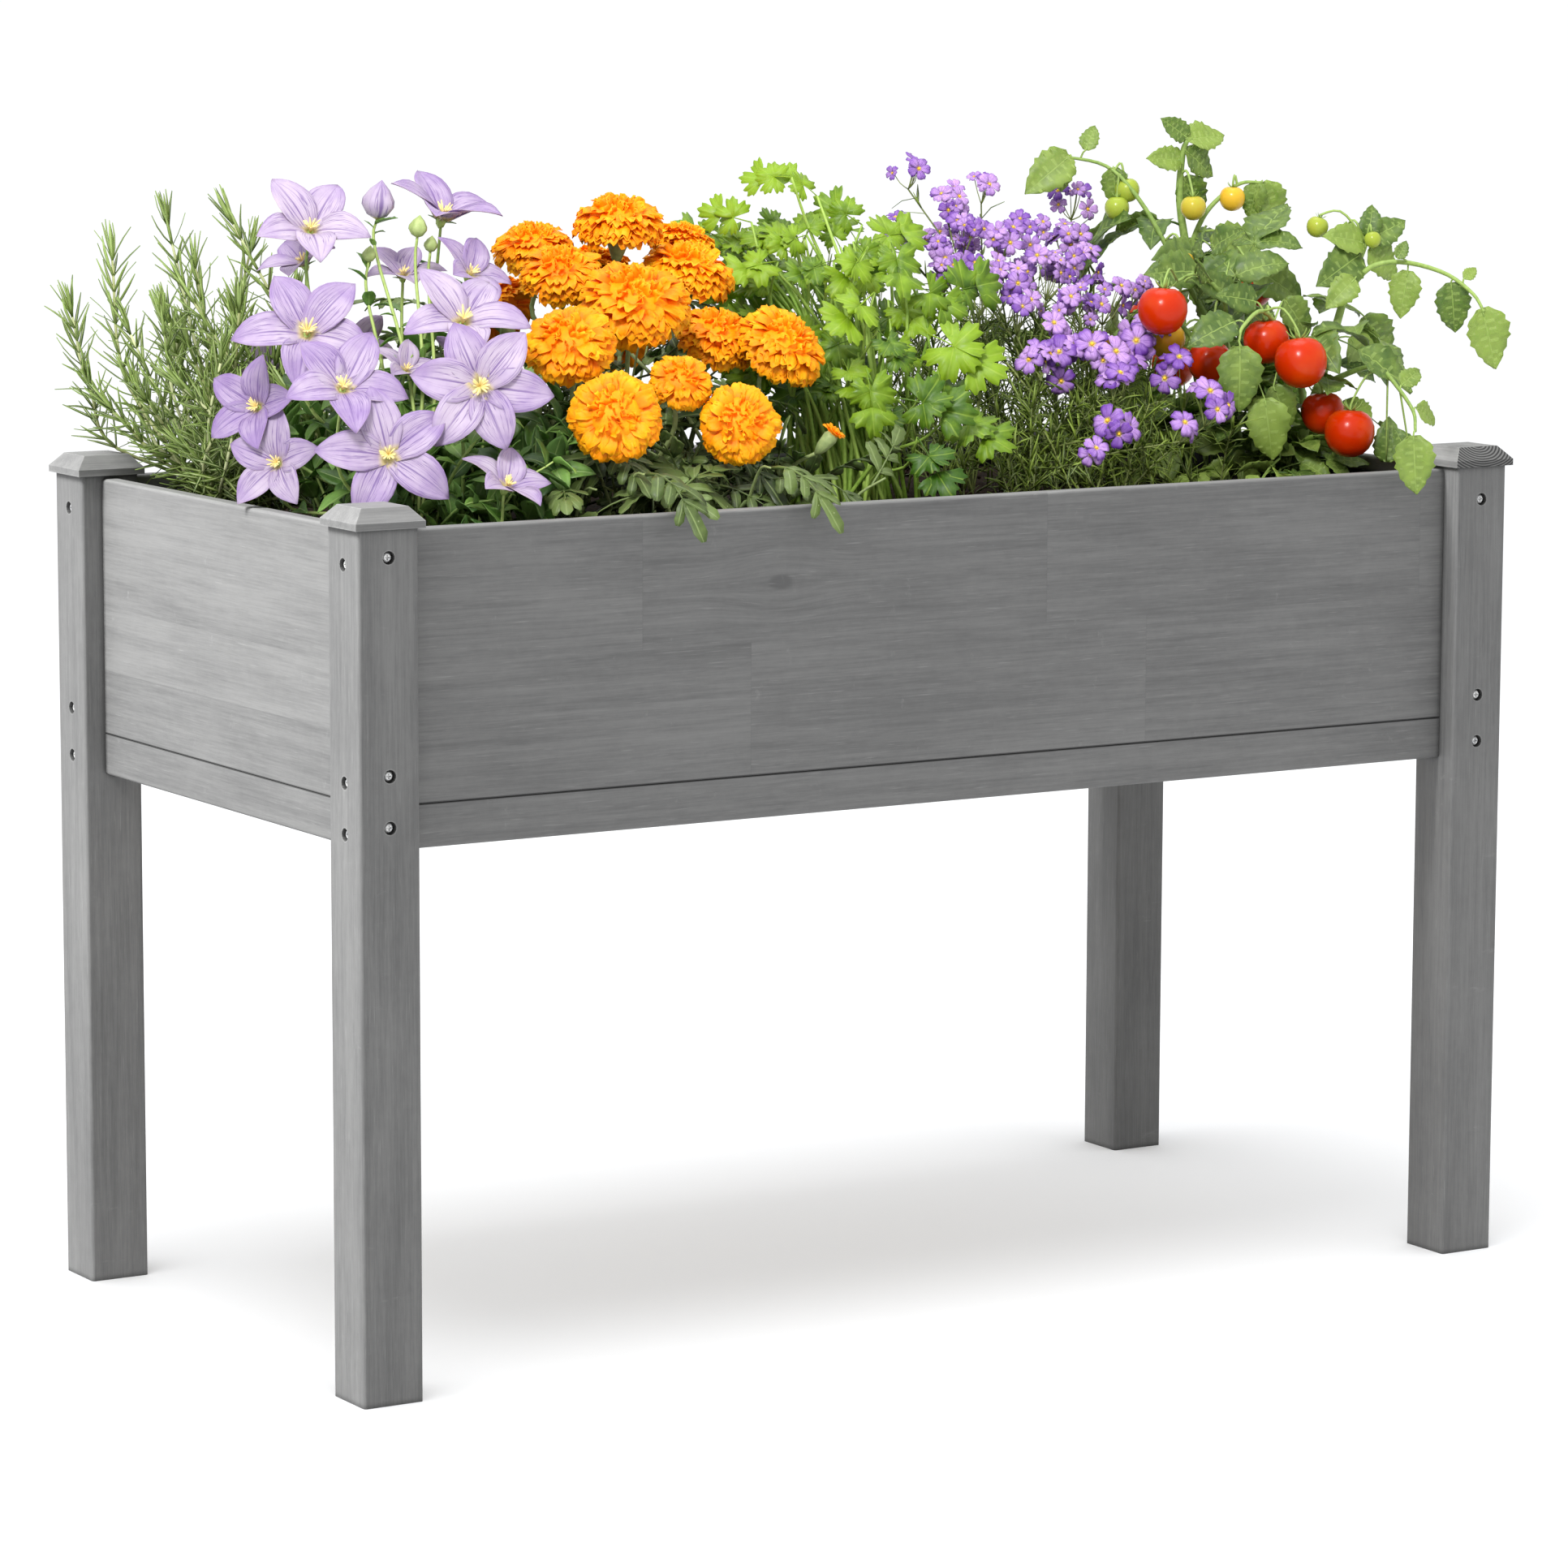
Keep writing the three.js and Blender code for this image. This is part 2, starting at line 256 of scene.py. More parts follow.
def wood(name, along, seed, dark, light, staves=None, knot=None, stave_contrast=0.3, heart=None, seam=None):
    """Planed softwood under a thin stain. along is the grain's axis. staves is (foot, width, length): the
    board is glued up from strips of that width, finger jointed every length. knot is an (along, up) place.
    heart is where the log's heart is, whose rings show dark on the sawn ends. seam is the height of a thin
    line of painted shade, for the gap between the two boards that meet there."""
    s = Shade(name)
    axes = s.separate(s.place())
    run, depth, rise = (axes[i] for i in GRAIN[along])
    up, shift = rise, seed
    if staves:
        shift, lines = glued_staves(s, run, rise, *staves, seed)
    if knot:
        up, knot_tone = knotted(s, run, rise, knot)
    here = s.combine(s.math("ADD", run, shift), depth, s.math("ADD", up, s.times(shift, 0.37)))

    def drawn_out(run_scale, cross_scale, lift_scale=None, **settings):
        """Noise that is drawn out along the grain, at one scale along it and another across."""
        scale = (run_scale, cross_scale, lift_scale or cross_scale)
        return s.noise(vector=s.scaled(here, scale), **settings)

    figure = drawn_out(0.55, 9.0, detail=1.5, distortion=0.25)
    late_wood = s.step(s.bands(figure, 17.0, 1.0), 0.62, 1.0)
    fibre = drawn_out(20.0, 560.0, detail=3.0, roughness=0.75)
    streak = drawn_out(2.4, 110.0, detail=4.0, roughness=0.65)
    brushed = drawn_out(5.0, 17.0, detail=5.0, roughness=0.62)
    mottle = s.noise(85.0, 4.0, 0.7, vector=here)
    tone = s.add_times(0.50, late_wood, -0.07)
    tone = s.sway(tone, (streak, 0.6), (fibre, 0.62), (brushed, 0.6), (mottle, 0.2))
    if staves:
        stave_tone = s.noise(1.0, 0.0, vector=s.combine(s.times(shift, 1.7), 0.0, 0.0))
        tone = s.sway(tone, (stave_tone, stave_contrast))
    if knot:
        tone = s.minus(tone, knot_tone)
    colour = s.mix(s.step(tone, 0.05, 0.95), dark, light)
    flecks = s.step(drawn_out(34.0, 900.0, detail=1.0), 0.66, 0.8, 0.0, 0.22)
    scuffs = s.step(drawn_out(60.0, 16.0, 40.0, detail=5.0, roughness=0.75), 0.62, 0.8, 0.0, 0.25)
    worn = s.times(s.worn_edge(0.0022), s.step(streak, 0.35, 0.65, 0.25, 0.9))
    pale = s.most(s.most(flecks, scuffs), s.times(worn, 0.5))
    colour = s.mix(pale, colour, dimmed(light, 1.9))
    if staves:
        colour = s.mix(s.times(lines, 0.12), colour, dimmed(dark, 0.55))
    if heart:
        colour = sawn_ends(s, colour, along, heart, brushed, dark, light)
    # Painted shade: ambient occlusion darkens the colour in crevices, corners, screw holes and between parts.
    crevice = s.node("ShaderNodeAmbientOcclusion", {"Distance": 0.008}, samples=6).outputs["AO"]
    painted_shade = s.step(crevice, 0.85, 0.48, 0.0, 0.8)
    # Painted shade along the seam, for the gap where the panel sits on the rail.
    if seam:
        off_seam = s.math("ABSOLUTE", s.minus(axes[2], seam))
        painted_shade = s.most(painted_shade, s.step(off_seam, 0.0016, 0.0008, 0.0, 0.85))
    s.set(Base_Color=s.mix(painted_shade, colour, dimmed(dark, 0.25)), Specular_IOR_Level=0.35)
    s.set(Roughness=s.step(streak, 0.2, 0.8, 0.5, 0.66))
    s.bump(s.math("ADD", s.times(fibre, 0.6), s.times(late_wood, 0.35)), 0.3, 0.0006)
    return s.material


# The dark and the light of the stained wood and of the bare wood.
STAIN = (srgb(86, 86, 86), srgb(119, 119, 118))
BARE = (srgb(140, 126, 108), srgb(190, 178, 160))
# The back right leg's colours are dimmed to this share of the others', as it looks in the photo:
# painted shade, for the shade that the bed throws on that leg.
PAINTED_SHADE_LEG = 0.72
# How wide the sanded edges of the caps and of the bare boards are.
CAP_EDGE = 0.0009
BARE_EDGE = 0.001
# The knot in the front board: its x, and its share of the board's height.
KNOT_X = -0.18
KNOT_SHARE = 0.72


def zinc():
    """Zinc-plated screw steel, dull and a little cloudy."""
    s = Shade("zinc_steel")
    grain = s.noise(900.0, 3.0, 0.7)
    s.set(Base_Color=s.mix(s.step(s.noise(160.0), 0.3, 0.7), srgb(180, 181, 183), srgb(224, 224, 222)))
    s.set(Metallic=0.45, Roughness=s.step(grain, 0.2, 0.8, 0.3, 0.5))
    s.bump(grain, 0.2, 0.0002)
    return s.material


def give_material(node, material, sanded=0.0):
    """Gives a CAD node its material and, where sanded is set, rounds its edges by that much for the eye."""
    thing = frame["nodes"][node]
    thing.data.materials.clear()
    thing.data.materials.append(material)
    if sanded:
        edge = thing.modifiers.new("sanded", "BEVEL")
        edge.width = sanded
        edge.segments = 2
        edge.limit_method = "ANGLE"
        edge.angle_limit = math.radians(38)
        edge.harden_normals = False


def dress_woodwork():
    for i, corner in enumerate(CORNERS):
        # The back right leg's stain is dimmed here: painted shade.
        stain = [dimmed(tone, PAINTED_SHADE_LEG if corner == "back_right" else 1.0) for tone in STAIN]
        give_material(f"leg_{corner}", wood(f"stain_leg_{corner}", "z", 1.7 + i, *stain))
        # The right caps' sawn ends face the front, and the left caps' long grain does.
        cap, along, heart = f"cap_{corner}", "x", None
        if "right" in corner:
            low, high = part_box(cap)
            along, heart = "y", ((low.x + high.x) / 2, 0.0, high.z + 0.004)
        give_material(cap, wood(f"stain_{cap}", along, 11.3 + i, *STAIN, heart=heart), CAP_EDGE)
    for i, side in enumerate(SIDES):
        low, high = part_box(f"panel_{side}")
        height = high.z - low.z
        grain, staves, contrast, knot = "y", (low.z, height / 4, 4.0), 1.6, None
        if side in ("front", "back"):
            grain, staves, contrast = "x", (low.z, height / 2, 0.42), 0.3
        if side == "front":
            knot = (KNOT_X, low.z + KNOT_SHARE * height)
        panel = wood(f"stain_panel_{side}", grain, 21.9 + 2.3 * i, *STAIN, staves, knot, contrast, seam=low.z)
        give_material(f"panel_{side}", panel)
        give_material(f"rail_{side}", wood(f"stain_rail_{side}", grain, 31.1 + i, *STAIN, seam=low.z))
    for kind, count, along, seed in (("cross_beam", 3, "y", 41.3), ("floor_slat", 5, "x", 51.7)):
        for i in range(count):
            node = f"{kind}_{i + 1}"
            give_material(node, wood(f"bare_{node}", along, seed + i, *BARE), BARE_EDGE)
    steel = zinc()
    for node in frame["nodes"]:
        if node.startswith("screw_"):
            give_material(node, steel)


# ---------------------------------------------------------------- shapes for the plants

UP = np.array([0.0, 0.0, 1.0])
FLAT = np.array([1.0, 1.0, 0.0])
GOLDEN_TURN = math.pi * (3 - math.sqrt(5))

# What the plants grow clear of: the boards, between the liner's inside and the panels' outside, and the legs
# with their caps, all with a little to spare.
SPARE = 0.001
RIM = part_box("panel_front")[1].z
INSIDE = np.array(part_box("bed_liner")[1])[:2] - SPARE
OUTSIDE = np.array([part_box("panel_right")[1].x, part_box("panel_back")[1].y]) + SPARE
CAP_LOW, CAP_HIGH = (np.array(corner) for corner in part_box("cap_back_right"))


def meets_boards(points):
    """Whether a form would pass through a board, a leg or a cap."""
    away, height = np.abs(points[:, :2]), points[:, 2]
    in_board = np.any((away > INSIDE) & (away < OUTSIDE), axis=1) & (height < RIM + 2 * SPARE)
    in_post = np.all(away > CAP_LOW[:2] - SPARE, axis=1) & (height < CAP_HIGH[2] + SPARE)
    return np.any(in_board | in_post)


# The side that the flowers and fruit are shown on: leaves stay out of their way there.
SHOWN_FROM = np.array([-0.51, -0.85, 0.13])


def hides(points, shown):
    """Whether a form would stand before one of the shown places, given as rows of x, y, z and radius."""
    apart = points[:, None] - shown[None, :, :3]
    ahead = apart @ SHOWN_FROM
    aside = np.linalg.norm(apart - ahead[..., None] * SHOWN_FROM, axis=2)
    return np.any((ahead > 0) & (aside < shown[:, 3]))


class Form:
    """Points, faces of three or four corners (-1 fills up a triangle) and two marks for each point: how far
    along its leaf or petal it is, and how far across."""

    def __init__(self, points, faces, marks=None):
        self.points = np.asarray(points, float)
        self.faces = np.asarray(faces, int)
        self.marks = np.zeros((len(points), 2)) if marks is None else np.asarray(marks, float)

    def placed(self, placing):
        return Form(self.points @ placing[:3, :3].T + placing[:3, 3], self.faces, self.marks)


def shifted(faces, by):
    return np.where(faces < 0, -1, faces + by)


def triangles(a, b, c):
    """Faces of three corners, from three columns of point numbers or one number for all."""
    return np.column_stack([*np.broadcast_arrays(a, b, c, -1)])


def joined(forms):
    starts = np.cumsum([0] + [len(form.points) for form in forms])
    faces = np.vstack([shifted(form.faces, start) for form, start in zip(forms, starts)])
    return Form(np.vstack([form.points for form in forms]), faces, np.vstack([form.marks for form in forms]))


class Heap:
    """The forms that make up one piece. Each is stamped in with a tint from 0 to 1 and a material number. A
    heap that keeps clear leaves out every form that would pass through the woodwork, and a heap with shown
    places leaves out every form that would hide one."""

    def __init__(self, keeps_clear=False, shown=()):
        self.keeps_clear, self.shown = keeps_clear, np.array(shown)
        self.points, self.faces, self.paint, self.materials = [], [], [], []
        self.count = 0

    def stamp(self, form, placing=None, tint=0.5, material=0):
        if placing is not None:
            form = form.placed(placing)
        if self.keeps_clear and meets_boards(form.points):
            return
        if len(self.shown) and hides(form.points, self.shown):
            return
        self.points.append(form.points)
        self.faces.append(shifted(form.faces, self.count))
        self.paint.append(np.column_stack([form.marks, np.full(len(form.points), tint)]))
        self.materials.append(np.full(len(form.faces), material))
        self.count += len(form.points)

    def piece(self, name, materials, slot, stands_for=None):
        """Makes the mesh object, which rides on the planter and may stand for a CAD node."""
        faces = np.vstack(self.faces)
        sides = (faces >= 0).sum(axis=1)
        corners = faces[faces >= 0]
        mesh = bpy.data.meshes.new(name)
        mesh.vertices.add(self.count)
        mesh.vertices.foreach_set("co", np.vstack(self.points).astype(np.float32).ravel())
        mesh.loops.add(len(corners))
        mesh.loops.foreach_set("vertex_index", corners.astype(np.int32))
        mesh.polygons.add(len(faces))
        mesh.polygons.foreach_set("loop_start", np.concatenate([[0], np.cumsum(sides)[:-1]]).astype(np.int32))
        for material in materials:
            mesh.materials.append(material)
        mesh.polygons.foreach_set("material_index", np.concatenate(self.materials).astype(np.int32))
        mesh.polygons.foreach_set("use_smooth", np.ones(len(faces), bool))
        mesh.update(calc_edges=True)
        paint = mesh.attributes.new("paint", "FLOAT_VECTOR", "POINT")
        paint.data.foreach_set("vector", np.vstack(self.paint).astype(np.float32).ravel())
        mesh.validate()
        made = bpy.data.objects.new(name, mesh)
        bpy.context.scene.collection.objects.link(made)
        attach(made, "root")
        if stands_for:
            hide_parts(stands_for)
        return made


def unit(vector):
    vector = np.asarray(vector, float)
    return vector / np.linalg.norm(vector)


def mm(*values):
    return np.array(values, float) / 1000


def spoke(turn):
    """The level direction at a turn round +Z."""
    return np.array([math.cos(turn), math.sin(turn), 0.0])


def pointing(at, ahead, face, size=1.0):
    """A placing whose +Y points ahead and whose +Z leans to face."""
    ahead = unit(ahead)
    side = unit(np.cross(ahead, face))
    placing = np.eye(4)
    placing[:3, 0] = side * size
    placing[:3, 1] = ahead * size
    placing[:3, 2] = np.cross(side, ahead) * size
    placing[:3, 3] = at
    return placing


def facing(at, axis, spin=0.0, size=1.0):
    """A placing whose +Z points along axis, turned by spin about it."""
    axis = unit(axis)
    across = unit(np.cross(axis, (0.31, 0.87, 0.38)))
    return pointing(at, math.cos(spin) * across + math.sin(spin) * np.cross(axis, across), axis, size)


def lattice(rows, cols, ring=False):
    """Four-cornered faces between rows + 1 lines of points. A ring's lines close on themselves."""
    width = cols if ring else cols + 1
    row, col = np.meshgrid(np.arange(rows), np.arange(cols), indexing="ij")
    near = row * width + col
    beside = row * width + (col + 1) % width
    return np.stack([near, beside, beside + width, near + width], axis=-1).reshape(-1, 4)


def thick(form, depth):
    """Closes a sheet into a thin body. The underside's marks are 2 further along, so a material can tell."""
    points, faces = form.points, form.faces
    three = faces[:, 3] < 0
    last = np.where(three, faces[:, 2], faces[:, 3])
    slant = np.cross(points[faces[:, 2]] - points[faces[:, 0]], points[last] - points[faces[:, 1]])
    a, b, c = (points[faces[three, k]] for k in range(3))
    slant[three] = np.cross(b - a, c - a)
    normals = np.zeros_like(points)
    for k in range(4):
        held = faces[:, k] >= 0
        np.add.at(normals, faces[held, k], slant[held])
    normals *= 0.5 * depth / np.maximum(np.linalg.norm(normals, axis=1, keepdims=True), 1e-12)
    count = len(points)
    under = np.where(three[:, None], np.column_stack([faces[:, 2::-1], faces[:, 3]]), faces[:, ::-1])
    edges = set()
    for face in faces.tolist():
        ring = [corner for corner in face if corner >= 0]
        edges.update(zip(ring, ring[1:] + ring[:1]))
    rim = [(b, a, a + count, b + count) for a, b in sorted(edges) if (b, a) not in edges]
    every_face = np.vstack([faces, shifted(under, count), rim])
    marks = np.vstack([form.marks, form.marks + (2.0, 0.0)])
    return Form(np.vstack([points + normals, points - normals]), every_face, marks)


def outline(*stops):
    """A width along a blade, from (place, width) stops."""
    places, widths = zip(*stops)
    return lambda t: np.interp(t, places, widths)


def toothed(shape, teeth, depth):
    """A width with that many teeth cut into it along the blade."""
    return lambda t: shape(t) * (1 - depth * (0.5 - 0.5 * np.cos(FULL_TURN * teeth * t)))


def blade(shape, length, width, rows, cols, droop=0.0, fold=0.0, cup=0.0, ruffle=0.0, waves=2.0, phase=0.0):
    """A leaf or petal that grows along +Y and faces +Z. droop bends it down, in radians from root to tip.
    fold lifts its sides in a V, cup in a bowl, and ruffle waves its rim."""
    t = np.linspace(0, 1, rows + 1)[:, None]
    across = np.linspace(-1, 1, cols + 1)[None, :]
    half = 0.5 * width * shape(t)
    bend = droop if abs(droop) > 1e-4 else 1e-4
    angle = bend * t
    x = across * half
    lift = np.abs(across) * half * fold + across**2 * half * cup
    lift = lift + ruffle * length * across**2 * np.sin(FULL_TURN * waves * t + phase + 1.3 * np.sign(across))
    y = length * np.sin(angle) / bend + lift * np.sin(angle)
    z = -length * (1 - np.cos(angle)) / bend + lift * np.cos(angle)
    return Form(rows_of(x, y, z), lattice(rows, cols), rows_of(t, across))


def rows_of(*columns):
    """One row for each place of a grid, from arrays that are stretched over the grid."""
    return np.stack(np.broadcast_arrays(*columns), axis=-1).reshape(-1, len(columns))


def fan(reach, spread, rings, spokes, cup=0.0, ruffle=0.0, phase=0.0):
    """A leaf that spreads round +Y, from -spread to spread. reach(angle) is how far it goes."""
    angle = np.linspace(-spread, spread, spokes + 1)[None, :]
    out = np.linspace(0, 1, rings + 1)[1:, None]
    far = out * reach(angle)
    lift = cup * far * out + ruffle * far * np.cos(4 * angle + phase)
    points = np.vstack([[(0, 0, 0)], rows_of(far * np.sin(angle), far * np.cos(angle), lift)])
    spot = np.arange(spokes)
    faces = np.vstack([triangles(0, spot + 2, spot + 1), lattice(rings - 1, spokes) + 1])
    return Form(points, faces, np.vstack([[(0, 0)], rows_of(out, angle / spread)]))


def skin_rings(points):
    """A closed body from rings of points, of which points is an array: ring, place in the ring, xyz."""
    rings, sides = points.shape[:2]
    last = (rings - 1) * sides
    spot = np.arange(1, sides - 1)
    faces = np.vstack([lattice(rings - 1, sides, ring=True), triangles(0, spot + 1, spot),
                       triangles(last, last + spot, last + spot + 1)])
    run = np.linspace(0, 1, rings)[:, None]
    return Form(points.reshape(-1, 3), faces, rows_of(run, np.linspace(-1, 1, sides, endpoint=False)))


def tube(path, radii, sides=5):
    """A closed round body along a path, with a radius at each of its points."""
    path = np.asarray(path, float)
    ahead = np.gradient(path, axis=0)
    ahead /= np.linalg.norm(ahead, axis=1, keepdims=True)
    side = np.cross(ahead, (0.93, 0.21, 0.3))
    side /= np.linalg.norm(side, axis=1, keepdims=True)
    up = np.cross(ahead, side)
    turn = FULL_TURN * np.arange(sides)[None, :, None] / sides
    round_path = side[:, None] * np.cos(turn) + up[:, None] * np.sin(turn)
    return skin_rings(path[:, None] + np.asarray(radii, float)[:, None, None] * round_path)


def turned(profile, sides=12, ribs=0, rib_depth=0.0):
    """A body turned about +Z from (radius, height) stops. ribs swell it round its girth."""
    radii, heights = np.array(profile, float).T
    turn = FULL_TURN * np.arange(sides) / sides
    girth = radii[:, None] * (1 + rib_depth * np.cos(ribs * turn))
    rings = np.stack([girth * np.cos(turn), girth * np.sin(turn), heights[:, None] + 0 * girth], axis=-1)
    return skin_rings(rings)


def curve(points, count):
    """count places along a smooth curve through the points."""
    points = np.asarray(points, float)
    held = np.vstack([2 * points[0] - points[1], points, 2 * points[-1] - points[-2]])
    run = np.linspace(0, len(points) - 1, count)
    start = np.minimum(run.astype(int), len(points) - 2)
    f = (run - start)[:, None]
    a, b, c, d = (held[start + k] for k in range(4))
    return 0.5 * (2 * b + (c - a) * f + (2 * a - 5 * b + 4 * c - d) * f**2 + (3 * b - a - 3 * c + d) * f**3)


def tapered(heap, points, root, tip, count=12, sides=5, tint=0.5):
    """Stamps a stem along a smooth curve through the points, and gives its path back."""
    path = curve(points, count)
    heap.stamp(tube(path, np.linspace(root, tip, count), sides), tint=tint)
    return path


def on_path(path, share):
    """The place and direction at a share of a path's points."""
    place = share * (len(path) - 1)
    start = min(int(place), len(path) - 2)
    step = path[start + 1] - path[start]
    return path[start] + (place - start) * step, unit(step)


def sideways(ahead, turn, lean):
    """A direction that leans away from ahead, by lean radians, on the side that turn gives."""
    side = unit(np.cross(ahead, (0.93, 0.21, 0.3)))
    out = math.cos(turn) * side + math.sin(turn) * np.cross(ahead, side)
    return math.cos(lean) * ahead + math.sin(lean) * out


def pinnate(leaflets, length, pairs, lean, droop, stalk, draw, start=0.3, taper=0.45):
    """A leaf of paired leaflets on a stalk that grows along +Y and faces +Z."""
    run = np.linspace(0.0, 1.0, 8)
    arc = droop * run
    path = np.column_stack([0 * run, length * np.sin(arc) / droop, -length * (1 - np.cos(arc)) / droop])
    forms = [tube(path, stalk * (1.3 - 0.8 * run), 4)]
    for pair in range(pairs):
        share = start + (0.94 - start) * pair / max(pairs - 1, 1)
        at, ahead = on_path(path, share)
        face = np.array([0.0, -ahead[2], ahead[1]])
        size = 1 - taper * abs(share - 0.45)
        for side in (-1, 1):
            turn = side * (lean + draw.uniform(-0.15, 0.15))
            out = math.cos(turn) * ahead + math.sin(turn) * np.array([1.0, 0.0, 0.0])
            tilted = face + draw.uniform(-0.3, 0.3, 3)
            leaflet = leaflets[draw.randint(len(leaflets))]
            forms.append(leaflet.placed(pointing(at, out, tilted, size * draw.uniform(0.85, 1.1))))
    at, ahead = on_path(path, 1.0)
    forms.append(leaflets[0].placed(pointing(at, ahead, (0.0, -ahead[2], ahead[1]), 1.1)))
    return joined(forms)


# ---------------------------------------------------------------- plant materials


def leaf_skin(name, dark, light, vein, ribs=0.0, vein_width=0.1, pale_under=0.25, gloss=0.45, mottle=90.0,
              rays=0.0):
    """A leaf with a pale midrib and, where ribs is set, that many side veins to its length. rays spreads that
    many veins out over each half of a fan. The colours are screen levels."""
    s = Shade(name)
    dark, light, vein = (srgb(*levels) for levels in (dark, light, vein))
    along, side, tint, under = s.paint()[1:]
    cloud = s.noise(mottle, 3.0)
    colour = s.mix(s.step(s.sway(tint, (cloud, 0.9)), 0.0, 1.0), dark, light)
    veins = s.step(side, vein_width, 0.3 * vein_width, 0.0, 0.75)
    if rays:
        veins = s.step(s.bands(side, rays), vein_width, 0.3 * vein_width, 0.0, 0.35)
    relief = veins
    if ribs:
        rib = s.step(s.bands(s.add_times(along, side, -0.16), ribs), 0.1, 0.0)
        veins = s.most(veins, s.times(rib, 0.06))
        relief = s.most(relief, s.times(rib, 0.4))
    colour = s.mix(veins, colour, vein)
    colour = s.mix(s.times(under, pale_under), colour, tuple(min(1.0, 1.5 * c + 0.06) for c in light))
    s.set(Base_Color=colour, Specular_IOR_Level=0.4)
    s.set(Roughness=s.step(cloud, 0.2, 0.8, gloss - 0.08, gloss + 0.12))
    s.glow_inside(0.12, (0.6, 1.0, 0.3))
    s.bump(s.add_times(s.times(relief, -0.8), s.noise(900.0), 0.2), 0.35, 0.0006)
    return s.material


def stem_skin(name, dark, light):
    """A plain skin between two screen colours, for stems and for the small parts of a flower."""
    s = Shade(name)
    tint = s.paint()[3]
    cloud = s.noise(220.0, 3.0)
    s.set(Base_Color=s.mix(s.step(s.sway(tint, (cloud, 0.8)), 0.0, 1.0), srgb(*dark), srgb(*light)))
    s.set(Roughness=0.55, Specular_IOR_Level=0.35)
    s.bump(cloud, 0.3, 0.0004)
    return s.material


def veined_petal(name, pale, deep, vein, heart, heart_reach=0.1, lines=1.0):
    """A petal that deepens to its tip and rim, with fine veins that run out from a coloured heart."""
    s = Shade(name)
    pale, deep, vein, heart = (srgb(*levels) for levels in (pale, deep, vein, heart))
    across, along, side, tint, under = s.paint()
    blush = s.noise(55.0, 3.0)
    tone = s.sway(s.times(tint, 0.75), (blush, 1.1))
    tone = s.add_times(tone, s.step(along, 0.45, 1.05), 0.3)
    tone = s.add_times(tone, s.step(side, 0.6, 1.0), 0.18)
    colour = s.mix(s.step(tone, 0.0, 1.1), pale, deep)
    threads = s.combine(s.times(across, 4.2), s.times(along, 0.45), s.times(tint, 43.0))
    thread = s.noise(1.6, 2.5, 0.6, vector=threads)
    fine_veins = s.step(s.math("ABSOLUTE", s.minus(thread, 0.5)), 0.035, 0.0)
    vein_tone = s.most(fine_veins, s.step(side, 0.07, 0.015))
    fade = s.times(s.step(along, 1.05, 0.3, 0.25, 0.9), lines)
    colour = s.mix(s.times(vein_tone, fade), colour, vein)
    colour = s.mix(s.step(along, heart_reach, 0.3 * heart_reach), colour, heart)
    colour = s.mix(s.times(under, 0.12), colour, deep)
    s.set(Base_Color=colour, Roughness=0.55, Specular_IOR_Level=0.3)
    s.glow_inside(0.2, (1.0, 0.8, 1.0))
    s.bump(s.add_times(blush, vein_tone, -0.5), 0.35, 0.0007)
    return s.material


def marigold_skin():
    """Deep orange in the folds and bright at the ruffled tips."""
    s = Shade("marigold_petal")
    _, along, _, tint, under = s.paint()
    tone = s.sway(s.add_times(-0.1, along, 0.75), (s.noise(120.0, 3.0), 0.7), (tint, 0.6))
    colour = s.mix(s.step(tone, 0.0, 0.5), srgb(244, 118, 0), srgb(254, 152, 0))
    colour = s.mix(s.step(tone, 0.42, 0.9), colour, srgb(255, 180, 16))
    colour = s.mix(s.times(under, 0.25), colour, srgb(250, 136, 0))
    s.set(Base_Color=colour, Roughness=0.6, Specular_IOR_Level=0.25)
    s.glow_inside(0.2, (1.0, 0.5, 0.1))
    s.bump(s.noise(420.0), 0.3, 0.0006)
    return s.material


def tomato_skin():
    """Glossy fruit. Its tint runs from green through yellow to red."""
    s = Shade("tomato_fruit")
    _, along, _, tint, _ = s.paint()
    ripe = s.sway(tint, (s.noise(38.0), 0.28))
    ripe = s.add_times(ripe, s.step(along, 0.75, 1.0), -0.12)
    colour = s.mix(s.step(ripe, 0.12, 0.5), srgb(150, 166, 58), srgb(216, 172, 48))
    colour = s.mix(s.step(ripe, 0.5, 0.78), colour, srgb(206, 84, 4))
    colour = s.mix(s.step(ripe, 0.78, 1.02), colour, srgb(184, 40, 0))
    s.set(Base_Color=colour, Roughness=0.26, Specular_IOR_Level=0.2, Coat_Weight=0.06, Coat_Roughness=0.05)
    s.glow_inside(0.08, (1.0, 0.3, 0.1), 0.004)
    s.bump(s.noise(900.0), 0.06, 0.0003)
    return s.material


def soil_skin():
    s = Shade("potting_mix")
    lumps, bits = s.noise(120.0, 6.0, 0.7), s.noise(620.0)
    colour = s.mix(s.step(lumps, 0.3, 0.7), srgb(24, 18, 14), srgb(62, 46, 35))
    colour = s.mix(s.step(bits, 0.66, 0.76, 0.0, 0.7), colour, srgb(112, 88, 62))
    s.set(Base_Color=colour, Roughness=0.95, Specular_IOR_Level=0.15)
    s.bump(s.add_times(lumps, bits, 0.3), 0.9, 0.003)
    return s.material


def felt():
    """Black spun-bonded cloth with its dimple pattern."""
    s = Shade("liner_felt")
    cells = s.node("ShaderNodeTexVoronoi", {"Vector": s.place(), "Scale": 420.0}).outputs["Distance"]
    threads = s.noise(1400.0, 3.0)
    s.set(Base_Color=s.mix(s.step(threads, 0.3, 0.7), srgb(12, 12, 13), srgb(30, 30, 31)))
    s.set(Roughness=0.95, Specular_IOR_Level=0.1)
    s.bump(s.add_times(cells, threads, 0.3), 0.5, 0.0005)
    return s.material


# ---------------------------------------------------------------- soil and liner

CRUMBS = 420
# How far the soil's top lies under the top of the CAD soil.
SOIL_DIP = 0.002
